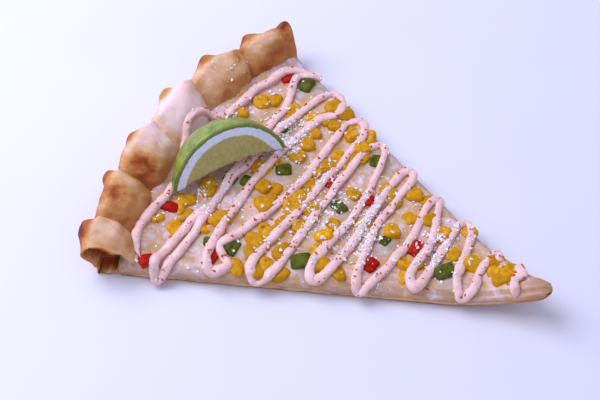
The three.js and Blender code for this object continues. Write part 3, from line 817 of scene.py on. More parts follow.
def knob_height(angle, turn):
    height = 0
    for knob_angle, knob_turn, size, knob in KNOBS:
        along = RIM_CREST * (angle - degrees(knob_angle))
        round_section = KNOB_ARM * (turn - degrees(knob_turn))
        nose = np.exp(-((np.hypot(along, round_section) / size) ** KNOB_BLUNTNESS))
        shoulder = bell(np.hypot(along / SHOULDER["along"], round_section / SHOULDER["size"]), size)
        height = height + knob * (nose + SHOULDER["share"] * shoulder)
    return height


def crest_radius(angle):
    return RIM_CREST - FAR_SHRINK * smoothstep(angle, FAR_SHRINK_START, FAR_SHRINK_END)


def rim_section(angle, turn):
    """Distance, angle and height of the rim's skin at angles along it and turns round its section"""
    inwards = np.cos(turn)
    upwards = np.sin(turn)
    inside = np.maximum(0, inwards)
    near_end = 1 - smoothstep(angle, -HALF_ANGLE, NEAR_DROP_END)
    waist = RIM_WAIST - RIM_TUCK * inside * (1 - near_end)
    lobe, share = lobe_place(angle, turn)
    feet = lerp(CREASE_FEET[lobe_before(lobe)], CREASE_FEET[lobe], smoothstep(share, *FEET_CHANGE))
    facing = np.cos(turn - LOBE_FACING)
    exposed = lerp(smoothstep(facing, *LOBE_FADE), smoothstep(facing, *DEEP_FADE), feet)
    size = np.interp(angle, LOBE_MIDDLES, LOBE_SIZES)
    fullness = lobe_fullness(lobe, share)
    swell = 1 + exposed * (LOBE_SWELL * (size * fullness - LOBE_MEAN))
    knob = knob_height(angle, turn)
    rise = RIM_RISE * (1 - NEAR_DROP * near_end)
    over = rise * np.maximum(0, upwards) ** (1 + INNER_SLOPE * inside) * swell + upwards * knob
    crest = crest_radius(angle)
    radius = crest - inwards * (np.where(inwards > 0, crest - RIM_FOOT, RIM_OUTER) * swell + knob)
    undercut = (UNDERCUT + NEAR_UNDERCUT * near_end) * smoothstep(-upwards, *UNDERCUT_FADE)
    drawn_in = undercut + OUTER_DIP * (1 - fullness)
    radius = radius - drawn_in * np.maximum(0, -inwards)
    z = waist + np.where(upwards > 0, over, upwards * waist * swell)
    flare = FAR_FLARE * smoothstep(angle, FAR_FLARE_START, HALF_ANGLE)
    flare = flare * np.clip((radius - RIM_FOOT) / (crest - RIM_FOOT), 0, 1)
    return radius, angle + exposed * lip_shift(lobe, share) + flare, z


def hollow_depth(share, turn):
    """Depth of the hollow in the near cut end, by the share of the way from its middle to the outline"""
    from_outer = np.angle(np.exp(1j * (turn - np.pi)))
    edge = HOLLOW["edge"] - HOLLOW["outer_wall"] * bell(from_outer, HOLLOW["wall_reach"])
    ragged = sum(height * np.sin(number * turn + start) for height, number, start in HOLLOW_WAVES)
    return HOLLOW["deep"] * smoothstep(edge + ragged - share, 0, HOLLOW["slope"])


def cap_loops(section, turns, hollow):
    """Loops that close a cut end, from its outline to its middle"""
    radius, angle, z = section
    hub_radius = 0.5 * (radius.min() + radius.max())
    loops = []
    for share in np.linspace(1, CAP_LEAST, CAP_LOOPS)[1:]:
        inner_radius = lerp(hub_radius, radius, share)
        inner_z = lerp(CAP_HUB_HEIGHT, z, share)
        rough = layered_relief(polar_spot(inner_radius, angle, inner_z), CAP_RELIEF)
        rough = rough * (1 - share ** CAP_RELIEF_FADE)
        depth = hollow_depth(share, turns) if hollow else FAR_CAP_DEPTH
        towards_middle = -np.sign(angle) * (depth + rough)
        loops.append(polar_spot(inner_radius, angle + towards_middle / inner_radius, inner_z))
    return loops


def rim_skin():
    turns = np.linspace(0, 2 * np.pi, RIM_TURNS, endpoint=False)
    angles = np.linspace(-HALF_ANGLE, HALF_ANGLE, RIM_ROWS)
    radius, angle, z = rim_section(angles[:, None], turns[None, :])
    swelling = layered_relief(polar_spot(radius, angle, z), RIM_RELIEF) * smoothstep(z, *RELIEF_START)
    radius = radius + swelling * -np.cos(turns)
    z = z + swelling * np.sin(turns)
    ring = TORN_RING * np.stack([np.cos(turns), np.sin(turns), 0 * turns], axis=-1)
    torn = TORN_EDGE * relief(ring, TORN_SIZE, TORN_SEED)
    angle = angle + torn * bell(angles[:, None] + HALF_ANGLE, TORN_REACH)
    near = cap_loops((radius[0], angle[0], z[0]), turns, True)
    far = cap_loops((radius[-1], angle[-1], z[-1]), turns, False)
    return loft(np.concatenate([np.array(near[::-1]), polar_spot(radius, angle, z), np.array(far)]))


def side_out(points, side, distance):
    """Points moved out of the near (-1) or far (1) cut side by a distance"""
    moved = np.array(points)
    moved[..., 0] += distance * np.sin(HALF_ANGLE)
    moved[..., 1] += distance * np.cos(HALF_ANGLE) * side
    return moved


def rounded_nose(points):
    """Draws the slice's blunt end in to a rounded nose"""
    along, _ = plan_of(points)
    share = np.clip((along - NOSE["end"]) / NOSE["length"], 0, 1)
    keep = np.maximum(NOSE["least"], np.sqrt(1 - (1 - share) ** 2))
    moved = np.array(points)
    moved[..., 2] = lerp(tip_lift(along) + NOSE["height"], points[..., 2], keep)
    return moved


def away_from_tip(along):
    return smoothstep(along, *TIP_CALM)


def base_skin():
    """The dough base as loops: over the top, down one side, back underneath and up the other"""
    shares = np.linspace(0, 1, BASE_ROWS)[:, None]
    across = np.linspace(HALF_ANGLE, -HALF_ANGLE, BASE_COLUMNS)[None, :]
    radius = wedge_radius(shares, across, BASE_RADIUS)
    along = wedge_along(radius, across)
    lift = tip_lift(along)
    top = spot(along, radius * np.sin(across), lift + BASE_THICKNESS)
    bottom = spot(along, radius * np.sin(across), lift)[:, ::-1]
    downs = np.linspace(0, 1, BASE_SIDE_STEPS + 2)[1:-1]
    sides = []
    for side, edge in ((-1, top[:, -1]), (1, top[:, 0])):
        steps = []
        for down in downs:
            points = edge - np.array([0, 0, BASE_THICKNESS * down])
            rough = layered_relief(points, BASE_RELIEF) * away_from_tip(plan_of(points)[0])
            steps.append(side_out(points, side, BASE_BULGE * np.sin(np.pi * down) + rough))
        sides.append(np.stack(steps, axis=1))
    near_down, far_down = sides
    return loft(rounded_nose(np.concatenate([top, near_down, bottom, far_down[:, ::-1]], axis=1)))


# Toasted patches of the rim, those low by its foot holding painted shade as well: distance, angle in degrees,
# height, size and strength
TOAST_AND_SHADE_PATCHES = (
    (202.4, -20.8, 16, 6, 0.62),
    (191.6, -23.4, 16, 6, 0.3),
    (193.8, -15.6, 21.5, 6, 0.72),
    (201.6, -12.4, 18.5, 3, 0.4),
    (188.9, -9.6, 21, 6.2, 0.7),
    (183, -8, 14, 8, 0.16),
    (202.3, -6, 19.8, 3.6, 0.62),
    (202.3, 3, 19, 3.2, 0.45),
    (200.4, 10.7, 19, 4.6, 0.5),
    (189.4, 14.5, 22, 3.6, 0.45),
    (198, 18, 19, 4.6, 0.52),
    (190.8, 23.9, 21, 5.2, 0.85),
    (181, 20.7, 18, 6, 0.26),
    (182, 17.4, 12, 5, 0.35),
    (185.5, 9.6, 17, 9, 0.2),
    (180.5, 8.5, 11, 6, 0.2),
)
PATCH_MEAN = 0.8
PATCH_MOTTLE = ((0.5, 3.2, 71), (0.3, 1.4, 72))
RIM_START = (RIM_FOOT - 4, RIM_FOOT + 1)
LOBE_TANS = np.array([0.27, 0.31, 0.2, 0, 0.27, 0.27, 0.29])
LEVEL = (0.3, 0.95)  # how far a face looks up where the painted shade on its lobe's steep sides fades
LEVEL_TAN = 0.6
# Creases are darkened by browning and painted shade together
CREASE_TAN_AND_SHADE = {"strength": 0.15, "far_share": 0.7, "far_width": (0.9, 1)}
KNOB_TAN = 0.28
KNOB_FULL = 3  # the knob's height from which it is wholly tanned
OUTER_TAN = {"strength": 0.34, "start": (0, 4), "top": (12, 19), "mean": 0.8, "mottle": ((0.5, 9, 73),)}
UNDERSIDE_TAN = {"height": (0.4, 1.8), "at_tip": 0.42, "beyond": 0.62, "change": (12, 40)}
SIDE_TAN = 0.22
TIP_TAN = {"more": 0.3, "reach": (8, 18)}
HOLLOW_HUB = {"radius": 191, "z": 8}
# The hollow is darkened by browning and painted shade together
HOLLOW_TAN_AND_SHADE = {
    "strength": 0.6, "deeper": 0.3, "deeper_reach": (187, 197), "inset": (0.8, 3), "facing": (-0.1, 0.3),
    "end": (degrees(20.5), degrees(21)), "foot": (RIM_FOOT, RIM_FOOT + 2),
}


def rim_browning_and_shade(points, normals, on_rim):
    """How far the rim is darkened: browned by lobe, on knobs, in patches and round its outside, with painted
    shade on steep sides, and with browning and painted shade together in creases and in the patches by its
    foot
    """
    radius, angle = polar_of(points)
    z = points[:, 2]
    crest = crest_radius(angle)
    inwards = (crest - radius) / np.where(radius < crest, crest - RIM_FOOT, RIM_OUTER)
    turn = np.arctan2((z - RIM_WAIST) / RIM_RISE, inwards)
    lobe, share = lobe_place(angle, turn)
    # Painted shade: a lobe's steep sides get more of its tan than its top does
    steep = 1 - smoothstep(normals[:, 2], *LEVEL)
    toast = on_rim * np.interp(angle, LOBE_MIDDLES, LOBE_TANS) * (LEVEL_TAN + steep)
    # Creases: browning and painted shade together
    crease = LOBE_CREASES[lobe_before(lobe)] * (1 - smoothstep(share, *CREASE_WIDTH))
    crease += CREASE_TAN_AND_SHADE["far_share"] * LOBE_CREASES[lobe] * smoothstep(share, *CREASE_TAN_AND_SHADE["far_width"])
    toast += CREASE_TAN_AND_SHADE["strength"] * on_rim * crease
    toast += KNOB_TAN * on_rim * np.clip(knob_height(angle, turn) / KNOB_FULL, 0, 1)
    mottled = PATCH_MEAN + layered_relief(points, PATCH_MOTTLE)
    # The patches by the rim's foot are painted shade as well as browning
    for patch_radius, patch_angle, patch_z, size, strength in TOAST_AND_SHADE_PATCHES:
        middle = polar_spot(patch_radius, degrees(patch_angle), patch_z)
        distance = np.linalg.norm(points - middle, axis=1)
        toast += strength * mottled * bell(distance, size)
    outer = smoothstep(radius - crest, *OUTER_TAN["start"]) * (1 - smoothstep(z, *OUTER_TAN["top"]))
    uneven = OUTER_TAN["mean"] + layered_relief(points, OUTER_TAN["mottle"])
    return np.maximum(toast, OUTER_TAN["strength"] * outer * uneven)


def hollow_browning_and_shade(points, normals):
    """How far the hollow in the near cut end is darkened, by browning and painted shade together, by where
    its skin faces its own middle and more towards the rim's inner side
    """
    radius, angle = polar_of(points)
    from_hub = points - polar_spot(HOLLOW_HUB["radius"], angle, HOLLOW_HUB["z"])
    outward = (normals * from_hub).sum(1) / np.linalg.norm(from_hub, axis=1)
    sunk = smoothstep(radius * (angle + HALF_ANGLE), *HOLLOW_TAN_AND_SHADE["inset"])
    sunk = sunk * smoothstep(-angle, *HOLLOW_TAN_AND_SHADE["end"]) * smoothstep(radius, *HOLLOW_TAN_AND_SHADE["foot"])
    deeper = 1 - smoothstep(radius, *HOLLOW_TAN_AND_SHADE["deeper_reach"])
    strength = HOLLOW_TAN_AND_SHADE["strength"] + HOLLOW_TAN_AND_SHADE["deeper"] * deeper
    # Painted shade and browning on the skin that faces the hollow's middle
    return sunk * (1 - smoothstep(outward, *HOLLOW_TAN_AND_SHADE["facing"])) * strength


def crust_browning_and_shade(points, normals):
    """How far each point of the crust is darkened, from 0 to 1: browning, with painted shade in the rim's
    creases, hollow, steep sides and foot
    """
    radius, _ = polar_of(points)
    along, _ = plan_of(points)
    on_rim = smoothstep(radius, *RIM_START)
    low = 1 - smoothstep(points[:, 2] - tip_lift(along), *UNDERSIDE_TAN["height"])
    change = smoothstep(along, *UNDERSIDE_TAN["change"])
    underside = low * lerp(UNDERSIDE_TAN["at_tip"], UNDERSIDE_TAN["beyond"], change)
    at_tip = TIP_TAN["more"] * (1 - smoothstep(along, *TIP_TAN["reach"]))
    sides = (SIDE_TAN + at_tip) * (1 - on_rim)
    browning_and_shade_parts = [rim_browning_and_shade(points, normals, on_rim), underside, sides, hollow_browning_and_shade(points, normals)]
    return np.clip(np.max(browning_and_shade_parts, axis=0), 0, 1)


def make_crust():
    crust = mesh_piece("crust_dough", *rim_skin())
    unite(crust, mesh_piece("dough_base", *base_skin()))
    paint(crust, "toast", crust_browning_and_shade(points_of(crust), normals_of(crust)))
    crust.data.materials.clear()
    crust.data.materials.append(crust_finish())
    hand_over(crust, "crust", "crust")
    return crust


# Cheese layer

LAYER_ROWS = 190
LAYER_COLUMNS = 130
LAYER_SIDE_STEPS = 9
LAYER_OUT = 0.45  # the cheese hangs over the dough's cut side
LAYER_OUT_SHARE = 0.4  # and is wholly out at this share of the way down
LAYER_BULGE = 0.4
LAYER_TUCK = {"in": 1.2, "up": 0.3}
LAYER_ROUNDING = 1.1
LAYER_ROUNDING_WIDTH = 3.2
LAYER_RADIUS = 187
LAYER_RELIEF = ((0.4, 11, 21), (0.4, 5, 22), (0.2, 2.6, 23))
CLIMB = 2.6  # it climbs this high up the foot of the rim
CLIMB_START = 171
CLIMB_END = RIM_FOOT + 2
CLIMB_RELIEF = ((0.9, 10, 24),)
LAYER_DIP = 5  # and ends lower, inside the rim
LAYER_DIP_START = RIM_FOOT + 1.5
# The cheese rises in a collar round what is sunk in it
COLLAR = {"corn": 0.9, "corn_reach": 4.8, "dice": 1.1, "dice_reach": 0.85}
RUN = {"mean": 2.6, "swing": 1.6, "least": 1.2}  # how far up the dough's side the cheese ends
RUN_RELIEF = ((0.9, 14, 31), (0.8, 5, 32))
LAYER_SIDE_RELIEF = ((0.3, 4, 33),)
STRAND_GREASE_AND_SHADOW = 4.2  # how far the strand's grease and the shadow painted round it spread in the cheese
# Stains round what lies in the cheese: the paint's name, strength, places and reach
STAINS = (
    ("corn_stain", 0.62, KERNELS + SUNK_KERNELS, 7),
    ("green_stain", 0.5, GREEN_PLACES, 7.5),
    ("red_stain", 0.3, RED_PLACES, 7),
)
# Baked marks on the cheese: along, across, size
BAKED_MARKS = (
    (143, 3, 6), (105, -29, 5), (86, 22, 6), (80, -34, 6), (57, -15, 6), (151, -66, 5), (158, -54, 5),
    (126, -51, 5), (50, -20, 6), (166, 22, 6), (118, 30, 6), (30, -8, 6),
)
# By the rim the share is painted shade at the rim's foot as well as browning
BAKED_AND_SHADE = {"marks": 0.55, "rim": 0.4, "tip": 0.95, "side": 0.55, "side_low": 0.4, "side_at_tip": 0.4}
BAKED_AND_SHADE_REACH = {"rim": (168, 180), "tip": (5, 19), "side": (-2.2, 0.3), "side_low": (2.5, 6)}


def climb_height(radius):
    return CLIMB * smoothstep(radius, CLIMB_START, CLIMB_END)


def cheese_surface(along, across):
    """The cheese as it shows: the solid's height with finer relief, and a rise round what is sunk in it"""
    base = cheese_top(along, across)
    flat = spot(along, across, 0)
    fine = layered_relief(flat, LAYER_RELIEF)
    corn = nearness(along, across, KERNELS, [COLLAR["corn_reach"] * kernel["size"] for kernel in KERNELS])
    dice = RED_PLACES + GREEN_PLACES
    pepper = nearness(along, across, dice, [COLLAR["dice_reach"] * die["edge"] for die in dice])
    radius = np.hypot(along, across)
    climb = climb_height(radius + layered_relief(flat, CLIMB_RELIEF))
    dip = LAYER_DIP * smoothstep(radius, LAYER_DIP_START, LAYER_RADIUS)
    return base + fine + COLLAR["corn"] * corn + COLLAR["dice"] * pepper + (climb - dip)


def layer_skin():
    """The cheese as loops: over the top, down one side, straight back underneath and up the other"""
    shares = np.linspace(0, 1, LAYER_ROWS)[:, None]
    angles = np.linspace(HALF_ANGLE, -HALF_ANGLE, LAYER_COLUMNS)[None, :]
    radius = wedge_radius(shares, angles, LAYER_RADIUS)
    along = wedge_along(radius, angles)
    across = radius * np.sin(angles)
    edge_distance = radius * np.sin(HALF_ANGLE - np.abs(angles))
    rounding = LAYER_ROUNDING * (1 - smoothstep(edge_distance, 0, LAYER_ROUNDING_WIDTH))
    top = spot(along, across, cheese_surface(along, across) - rounding)
    sides = []
    for side, edge in ((-1, top[:, -1]), (1, top[:, 0])):
        edge_along, _ = plan_of(edge)
        calm = away_from_tip(edge_along)
        run = layered_relief(edge, RUN_RELIEF) * calm
        low = tip_lift(edge_along) + np.clip(RUN["mean"] + RUN["swing"] * run, RUN["least"], BASE_THICKNESS)
        steps = []
        for down in np.linspace(0, 1, LAYER_SIDE_STEPS + 1)[1:]:
            points = np.array(edge)
            points[:, 2] = lerp(edge[:, 2], low, down)
            middle = np.sin(np.pi * down)
            hang = LAYER_OUT * np.sin(0.5 * np.pi * np.minimum(1, down / LAYER_OUT_SHARE))
            rough = layered_relief(points, LAYER_SIDE_RELIEF) * middle * calm
            steps.append(side_out(points, side, hang + LAYER_BULGE * middle + rough))
        under = np.array(edge)
        under[:, 2] = low + LAYER_TUCK["up"]
        steps.append(side_out(under, side, -LAYER_TUCK["in"]))
        sides.append(np.stack(steps, axis=1))
    near_down, far_down = sides
    return loft(rounded_nose(np.concatenate([top, near_down, far_down[:, ::-1]], axis=1)))


def near_strand(along, across):
    """How near each place is to the middle of the strand, from 0 to 1"""
    path = smooth_path(strand_bends(), STRAND_STEPS)
    tree = search_tree(path * (1, 1, 0))
    distance = [tree.find(place)[2] for place in np.stack([along, across, 0 * along], axis=-1).tolist()]
    return bell(np.array(distance), STRAND_GREASE_AND_SHADOW)


def baked_and_shade_share(points):
    """How far the cheese is browned: in marks, by the rim, at the tip and at the cut sides; by the rim this
    is painted shade as well
    """
    along, across = plan_of(points)
    marks = [{"along": mark[0], "across": mark[1]} for mark in BAKED_MARKS]
    in_marks = BAKED_AND_SHADE["marks"] * nearness(along, across, marks, [mark[2] for mark in BAKED_MARKS])
    # By the rim's foot: browning and painted shade together
    by_rim = BAKED_AND_SHADE["rim"] * smoothstep(np.hypot(along, across), *BAKED_AND_SHADE_REACH["rim"])
    at_tip = BAKED_AND_SHADE["tip"] * (1 - smoothstep(along, *BAKED_AND_SHADE_REACH["tip"]))
    sides = smoothstep(np.abs(across) - along * np.tan(HALF_ANGLE), *BAKED_AND_SHADE_REACH["side"])
    sides = sides * lerp(BAKED_AND_SHADE["side_at_tip"], 1, away_from_tip(along))
    lower = 1 - smoothstep(points[:, 2] - tip_lift(along), *BAKED_AND_SHADE_REACH["side_low"])
    at_sides = BAKED_AND_SHADE["side_low"] * sides * lower + BAKED_AND_SHADE["side"] * sides
    return np.max([in_marks, by_rim, at_tip, at_sides], axis=0)


def make_cheese():
    layer = mesh_piece("cheese_layer", *layer_skin())
    points = points_of(layer)
    along, across = plan_of(points)
    paint(layer, "baked", baked_and_shade_share(points))
    # Grease and painted shadow along the strand
    paint(layer, "grease", near_strand(along, across))
    for name, strength, places, reach in STAINS:
        paint(layer, name, strength * nearness(along, across, places, [reach] * len(places)))
    layer.data.materials.append(cheese_finish())
    hand_over(layer, "cheese", "cheese")
    return layer


# Node groups that make what repeats or follows a path

RANDOM_SOCKETS = {"FLOAT_VECTOR": (0, 1, 0), "FLOAT": (2, 3, 1), "INT": (4, 5, 2)}  # least, most, result


class Growth(NodeTree):
    """A geometry node group with named inputs, put on a piece and then made its plain mesh"""

    def __init__(self, name):
        self.tree = bpy.data.node_groups.new(name, "GeometryNodeTree")
        self.tree.interface.new_socket("Geometry", in_out="INPUT", socket_type="NodeSocketGeometry")
        self.tree.interface.new_socket("Geometry", in_out="OUTPUT", socket_type="NodeSocketGeometry")
        self.source = self.tree.nodes.new("NodeGroupInput")
        self.result = self.tree.nodes.new("NodeGroupOutput")
        self.values = {}

    def size(self, label, value, kind="NodeSocketFloat"):
        """A named input of the group, with the value that this slice has"""
        socket = self.tree.interface.new_socket(label, in_out="INPUT", socket_type=kind)
        self.values[socket.identifier] = value
        return self.source.outputs[label]

    def attribute(self, name):
        node = self.add("GeometryNodeInputNamedAttribute", {"Name": name}, data_type="FLOAT")
        return node.outputs["Attribute"]

    def math(self, operation, first, second):
        return self.add("ShaderNodeMath", {0: first, 1: second}, operation=operation).outputs[0]

    def draw(self, kind, seed, least, most):
        """A random value for each point"""
        least_socket, most_socket, result = RANDOM_SOCKETS[kind]
        node = self.add("FunctionNodeRandomValue", {least_socket: least, most_socket: most, "Seed": seed},
                        data_type=kind)
        return node.outputs[result]

    def plant(self, points, shapes, count, turn, size, seed):
        """Puts one of the shapes on each point, with a tint of its own"""
        placed = self.add("GeometryNodeInstanceOnPoints", {
            "Points": points, "Instance": shapes, "Pick Instance": True,
            "Instance Index": self.draw("INT", seed, 0, count - 1), "Rotation": turn, "Scale": size})
        tinted = self.add("GeometryNodeStoreNamedAttribute", {
            "Geometry": placed.outputs["Instances"], "Name": "tint", "Value": self.draw("FLOAT", seed, 0, 1)},
            data_type="FLOAT", domain="INSTANCE")
        return tinted.outputs["Geometry"]

    def finish(self, geometry, material, rounded=True):
        real = self.add("GeometryNodeRealizeInstances", {"Geometry": geometry})
        smooth = self.add("GeometryNodeSetShadeSmooth", {
            "Geometry": real.outputs["Geometry"], "Shade Smooth": rounded})
        painted = self.add("GeometryNodeSetMaterial", {
            "Geometry": smooth.outputs["Geometry"], "Material": material})
        self.feed(self.result.inputs["Geometry"], painted.outputs["Geometry"])

    def grow(self, piece):
        modifier = piece.modifiers.new(self.tree.name, "NODES")
        modifier.node_group = self.tree
        for identifier, value in self.values.items():
            modifier[identifier] = value
        settle(piece)


# Corn

KERNEL_ROUND = 16
KERNEL_DOWN = 10
KERNEL_SHAPES = 6
KERNEL_SQUARENESS = 3
KERNEL_UNEVEN = (0.84, 1.1)
KERNEL_RELIEF = ((0.5, 2.8, 40),)
KERNEL_SEEDS = 3  # how many seeds each kernel's relief takes
CROWN = {"back": 0.8, "reach": 2.2, "dent": 0.7, "height": (0, 2)}
CORN_LEAN = 0.3
CORN_GROWTH_SEED = 5


def kernel_shape(seed):
    """One kernel: a rounded block with a dented crown, narrower at its tip end"""
    down = np.linspace(0, np.pi, KERNEL_DOWN + 1)[1:-1][:, None]
    around = np.linspace(0, 2 * np.pi, KERNEL_ROUND, endpoint=False)[None, :]
    ball = np.stack(np.broadcast_arrays(
        np.sin(down) * np.cos(around), np.sin(down) * np.sin(around), np.cos(down)), axis=-1)
    block = ball / (np.abs(ball) ** KERNEL_SQUARENESS).sum(-1, keepdims=True) ** (1 / KERNEL_SQUARENESS)
    taper = 1 - KERNEL["taper"] * block[..., :1]
    uneven = np.random.default_rng(seed).uniform(*KERNEL_UNEVEN, 3)
    sizes = np.array([KERNEL["length"], KERNEL["width"], KERNEL["height"]]) * uneven
    shaped = block * sizes * np.concatenate([np.ones_like(taper), taper, taper], axis=-1)
    crown = bell(np.hypot(shaped[..., 0] + CROWN["back"], shaped[..., 1]), CROWN["reach"])
    shaped[..., 2] -= CROWN["dent"] * (crown * smoothstep(shaped[..., 2], *CROWN["height"]))
    shaped += jitter(shaped, KERNEL_RELIEF, KERNEL_SEEDS * seed)
    return loft(shaped)


def make_corn():
    kernels = KERNELS + SUNK_KERNELS
    deeper = [0] * len(KERNELS) + [SUNK_DEEPER] * len(SUNK_KERNELS)
    places = []
    for kernel, depth in zip(kernels, deeper):
        top = cheese_top(kernel["along"], kernel["across"])
        z = top + KERNEL["height"] * kernel["size"] - KERNEL["sunk"] - depth
        places.append(spot(kernel["along"], kernel["across"], z))
    corn = mesh_piece("corn_kernels", np.array(places), [])
    paint(corn, "heading", [np.pi - kernel["heading"] for kernel in kernels])
    paint(corn, "size", [kernel["size"] for kernel in kernels])
    shapes = [mesh_piece(f"kernel_shape_{seed}", *kernel_shape(seed)) for seed in range(KERNEL_SHAPES)]
    growth = Growth("corn_on_places")
    lean = growth.size("Lean", CORN_LEAN)
    seed = growth.size("Seed", CORN_GROWTH_SEED, "NodeSocketInt")
    joined = growth.add("GeometryNodeJoinGeometry")
    for shape in shapes:
        info = growth.add("GeometryNodeObjectInfo", {"Object": shape, "As Instance": True})
        growth.feed(joined.inputs["Geometry"], info.outputs["Geometry"])
    tilt = growth.draw("FLOAT", seed, growth.math("MULTIPLY", lean, -1), lean)
    turn = growth.add("ShaderNodeCombineXYZ", {"X": tilt, "Y": tilt, "Z": growth.attribute("heading")})
    planted = growth.plant(growth.source.outputs["Geometry"], joined.outputs["Geometry"], KERNEL_SHAPES,
                           turn.outputs["Vector"], growth.attribute("size"), seed)
    growth.finish(planted, corn_finish())
    growth.grow(corn)
    for shape in shapes:
        drop_object(shape)
    hand_over(corn, "corn", "cheese")
    return corn


# Sauce strand

STRAND_STEPS = 14
STRAND_PROFILE = 14
STRAND_START = 9  # the strand begins in a point and ends blunt
STRAND_END = 2.5
STRAND_END_LEAST = 0.02
STRAND_LOW = 0.8
STRAND_SWAY = ((0.8, 13, 50), (0.35, 5, 54))
STRAND_UNEVEN = ((0.22, 8, 52), (0.12, 3, 53))
STRAND_JITTER = ((0.22, 2.4, 56), (0.3, 6, 59))
STRAND_SETTLING = (0, 0.7)  # the shares of the way down its side over which the strand sinks on to its bed
STRAND_UNDER = (-0.2, 0.55)
EVEN_STEPS = 5
RAY_START = 1000


def strand_turn(turns, index):
    """The bends of one turn, with those before and after it"""
    along = turns["places"][index]
    half = turns["halves"][index]
    reach = along * np.tan(HALF_ANGLE) + turns["overs"][index]
    inside = turns["side"] * max(reach - turns["depths"][index], TURN_LEAST_INSIDE * reach)
    before, middle, after = turns["fullness"]
    return [
        *turns["leads"].get(index, []),
        (along + half, inside, before),
        (along, turns["side"] * reach, middle),
        (along - half, inside, after),
        *turns["loops"].get(index, []),
    ]


def strand_bends():
    """The bends of the whole strand: along, across and the thickness, which is 1 where none is given"""
    turns = []
    for index in range(len(NEAR_TURNS["places"])):
        turns.append(strand_turn(FAR_TURNS, index))
        turns.append(strand_turn(NEAR_TURNS, index))
    turns[-1].pop()
    bends = list(RIM_STROKE)
    for index, turn in enumerate(turns):
        bends += turn
        if index < len(STROKE_BOWS):
            start, end = turn[-1], turns[index + 1][0]
            along = (start[0] + end[0]) / 2 + STROKE_BOWS[index]
            bends.append((along, (start[1] + end[1]) / 2, STROKE_FULLNESS))
    return np.array([(*bend, 1)[:3] for bend in bends], float)


def smooth_path(bends, steps):
    """A centripetal curve through the bends"""
    ends = np.concatenate([[2 * bends[0] - bends[1]], bends, [2 * bends[-1] - bends[-2]]])
    gaps = np.sqrt(np.linalg.norm(np.diff(ends[:, :2], axis=0), axis=1))
    points = []
    for index in range(len(bends) - 1):
        before, start, end, after = ends[index:index + 4]
        first, middle, last = gaps[index:index + 3]
        leave = (start - before) / first - (end - before) / (first + middle) + (end - start) / middle
        arrive = (end - start) / middle - (after - start) / (middle + last) + (after - end) / last
        leave *= middle
        arrive *= middle
        for share in np.linspace(0, 1, steps, endpoint=False):
            points.append(start + leave * share + (3 * (end - start) - 2 * leave - arrive) * share ** 2
                          + (2 * (start - end) + leave + arrive) * share ** 3)
    return np.array(points + [bends[-1]])


def rim_top(along, across):
    """Height of the rim's inner slope, or nought where there is none"""
    radius = np.hypot(along, across)
    angle = np.arctan2(across, along)
    crest = crest_radius(angle)
    inwards = np.clip((crest - radius) / (crest - RIM_FOOT), 0, 1)
    upwards = np.sqrt(1 - inwards ** 2)
    height = RIM_WAIST - RIM_TUCK * inwards + RIM_RISE * upwards ** (1 + INNER_SLOPE * inwards)
    return np.where(radius > RIM_FOOT, height, 0)


def strand_height(along, across):
    """Height of the strand's middle: on the cheese, over kernels and dice, and sagging past a cut side"""
    rise = np.zeros(np.shape(along))
    bumps = [(kernel, STRAND_RIDE * KERNEL["height"]) for kernel in KERNELS]
    for die in RED_PLACES + GREEN_PLACES:
        bumps.append((die, DICE["thick"] * die["edge"] * (1 - DICE["sunk_share"])))
    for place, height in bumps:
        distance = np.hypot(along - place["along"], across - place["across"])
        rise = np.maximum(rise, height * bell(distance, STRAND_RIDE_REACH))
    past = np.maximum(0, -across - along * np.tan(HALF_ANGLE) + STRAND_WIDTH / 2)
    sag = STRAND_DRAPE * past ** 2
    cheese = cheese_top(along, across) + climb_height(np.hypot(along, across))
    return np.maximum(cheese + rise - sag, rim_top(along, across)) + STRAND_HEIGHT / 2 - STRAND_SUNK


def rest_on_rim(line, crust):
    """Lifts a line where it would run inside the rim, and evens out its height there"""
    height = np.array(line[:, 2])
    radius, _ = polar_of(line)
    for index in np.nonzero(radius > RIM_FOOT - STRAND_RIDE_REACH)[0]:
        above = Vector((*line[index, :2], RAY_START)) * MM
        hit, place, _, _ = crust.ray_cast(above, Vector((0, 0, -1)))
        if hit:
            height[index] = max(height[index], place.z / MM + STRAND_HEIGHT / 2 - STRAND_SUNK)
    window = np.ones(2 * EVEN_STEPS + 1)
    even = np.convolve(np.pad(height, EVEN_STEPS, mode="edge"), window, mode="valid") / len(window)
    share = smoothstep(radius, RIM_FOOT - 2 * STRAND_RIDE_REACH, RIM_FOOT - STRAND_RIDE_REACH)
    line[:, 2] = lerp(line[:, 2], even, share)


def settle_strand(strand, line):
    """Lets the strand's underside sink on to what is below it, and makes its skin uneven"""
    tree = search_tree(line)
    points = points_of(strand)
    middles = np.array([line[tree.find(point)[1]][2] for point in points])
    along, across = plan_of(points)
    under = np.clip((middles - points[:, 2]) / (0.5 * STRAND_HEIGHT), 0, 1)
    bed = np.maximum(cheese_top(along, across), rim_top(along, across)) - STRAND_SUNK
    bed = np.where(np.hypot(along, across) > RIM_FOOT, np.minimum(bed, middles - STRAND_HEIGHT / 2), bed)
    sunk = np.minimum(points[:, 2], bed)
    points[:, 2] = lerp(points[:, 2], sunk, smoothstep(under, *STRAND_SETTLING))
    for layer in STRAND_JITTER:
        points += jitter(points, [layer])
    move_points(strand, points)
    # The underside, which the finish darkens with oil and painted shade
    paint(strand, "under", 1 - smoothstep(normals_of(strand)[:, 2], *STRAND_UNDER))


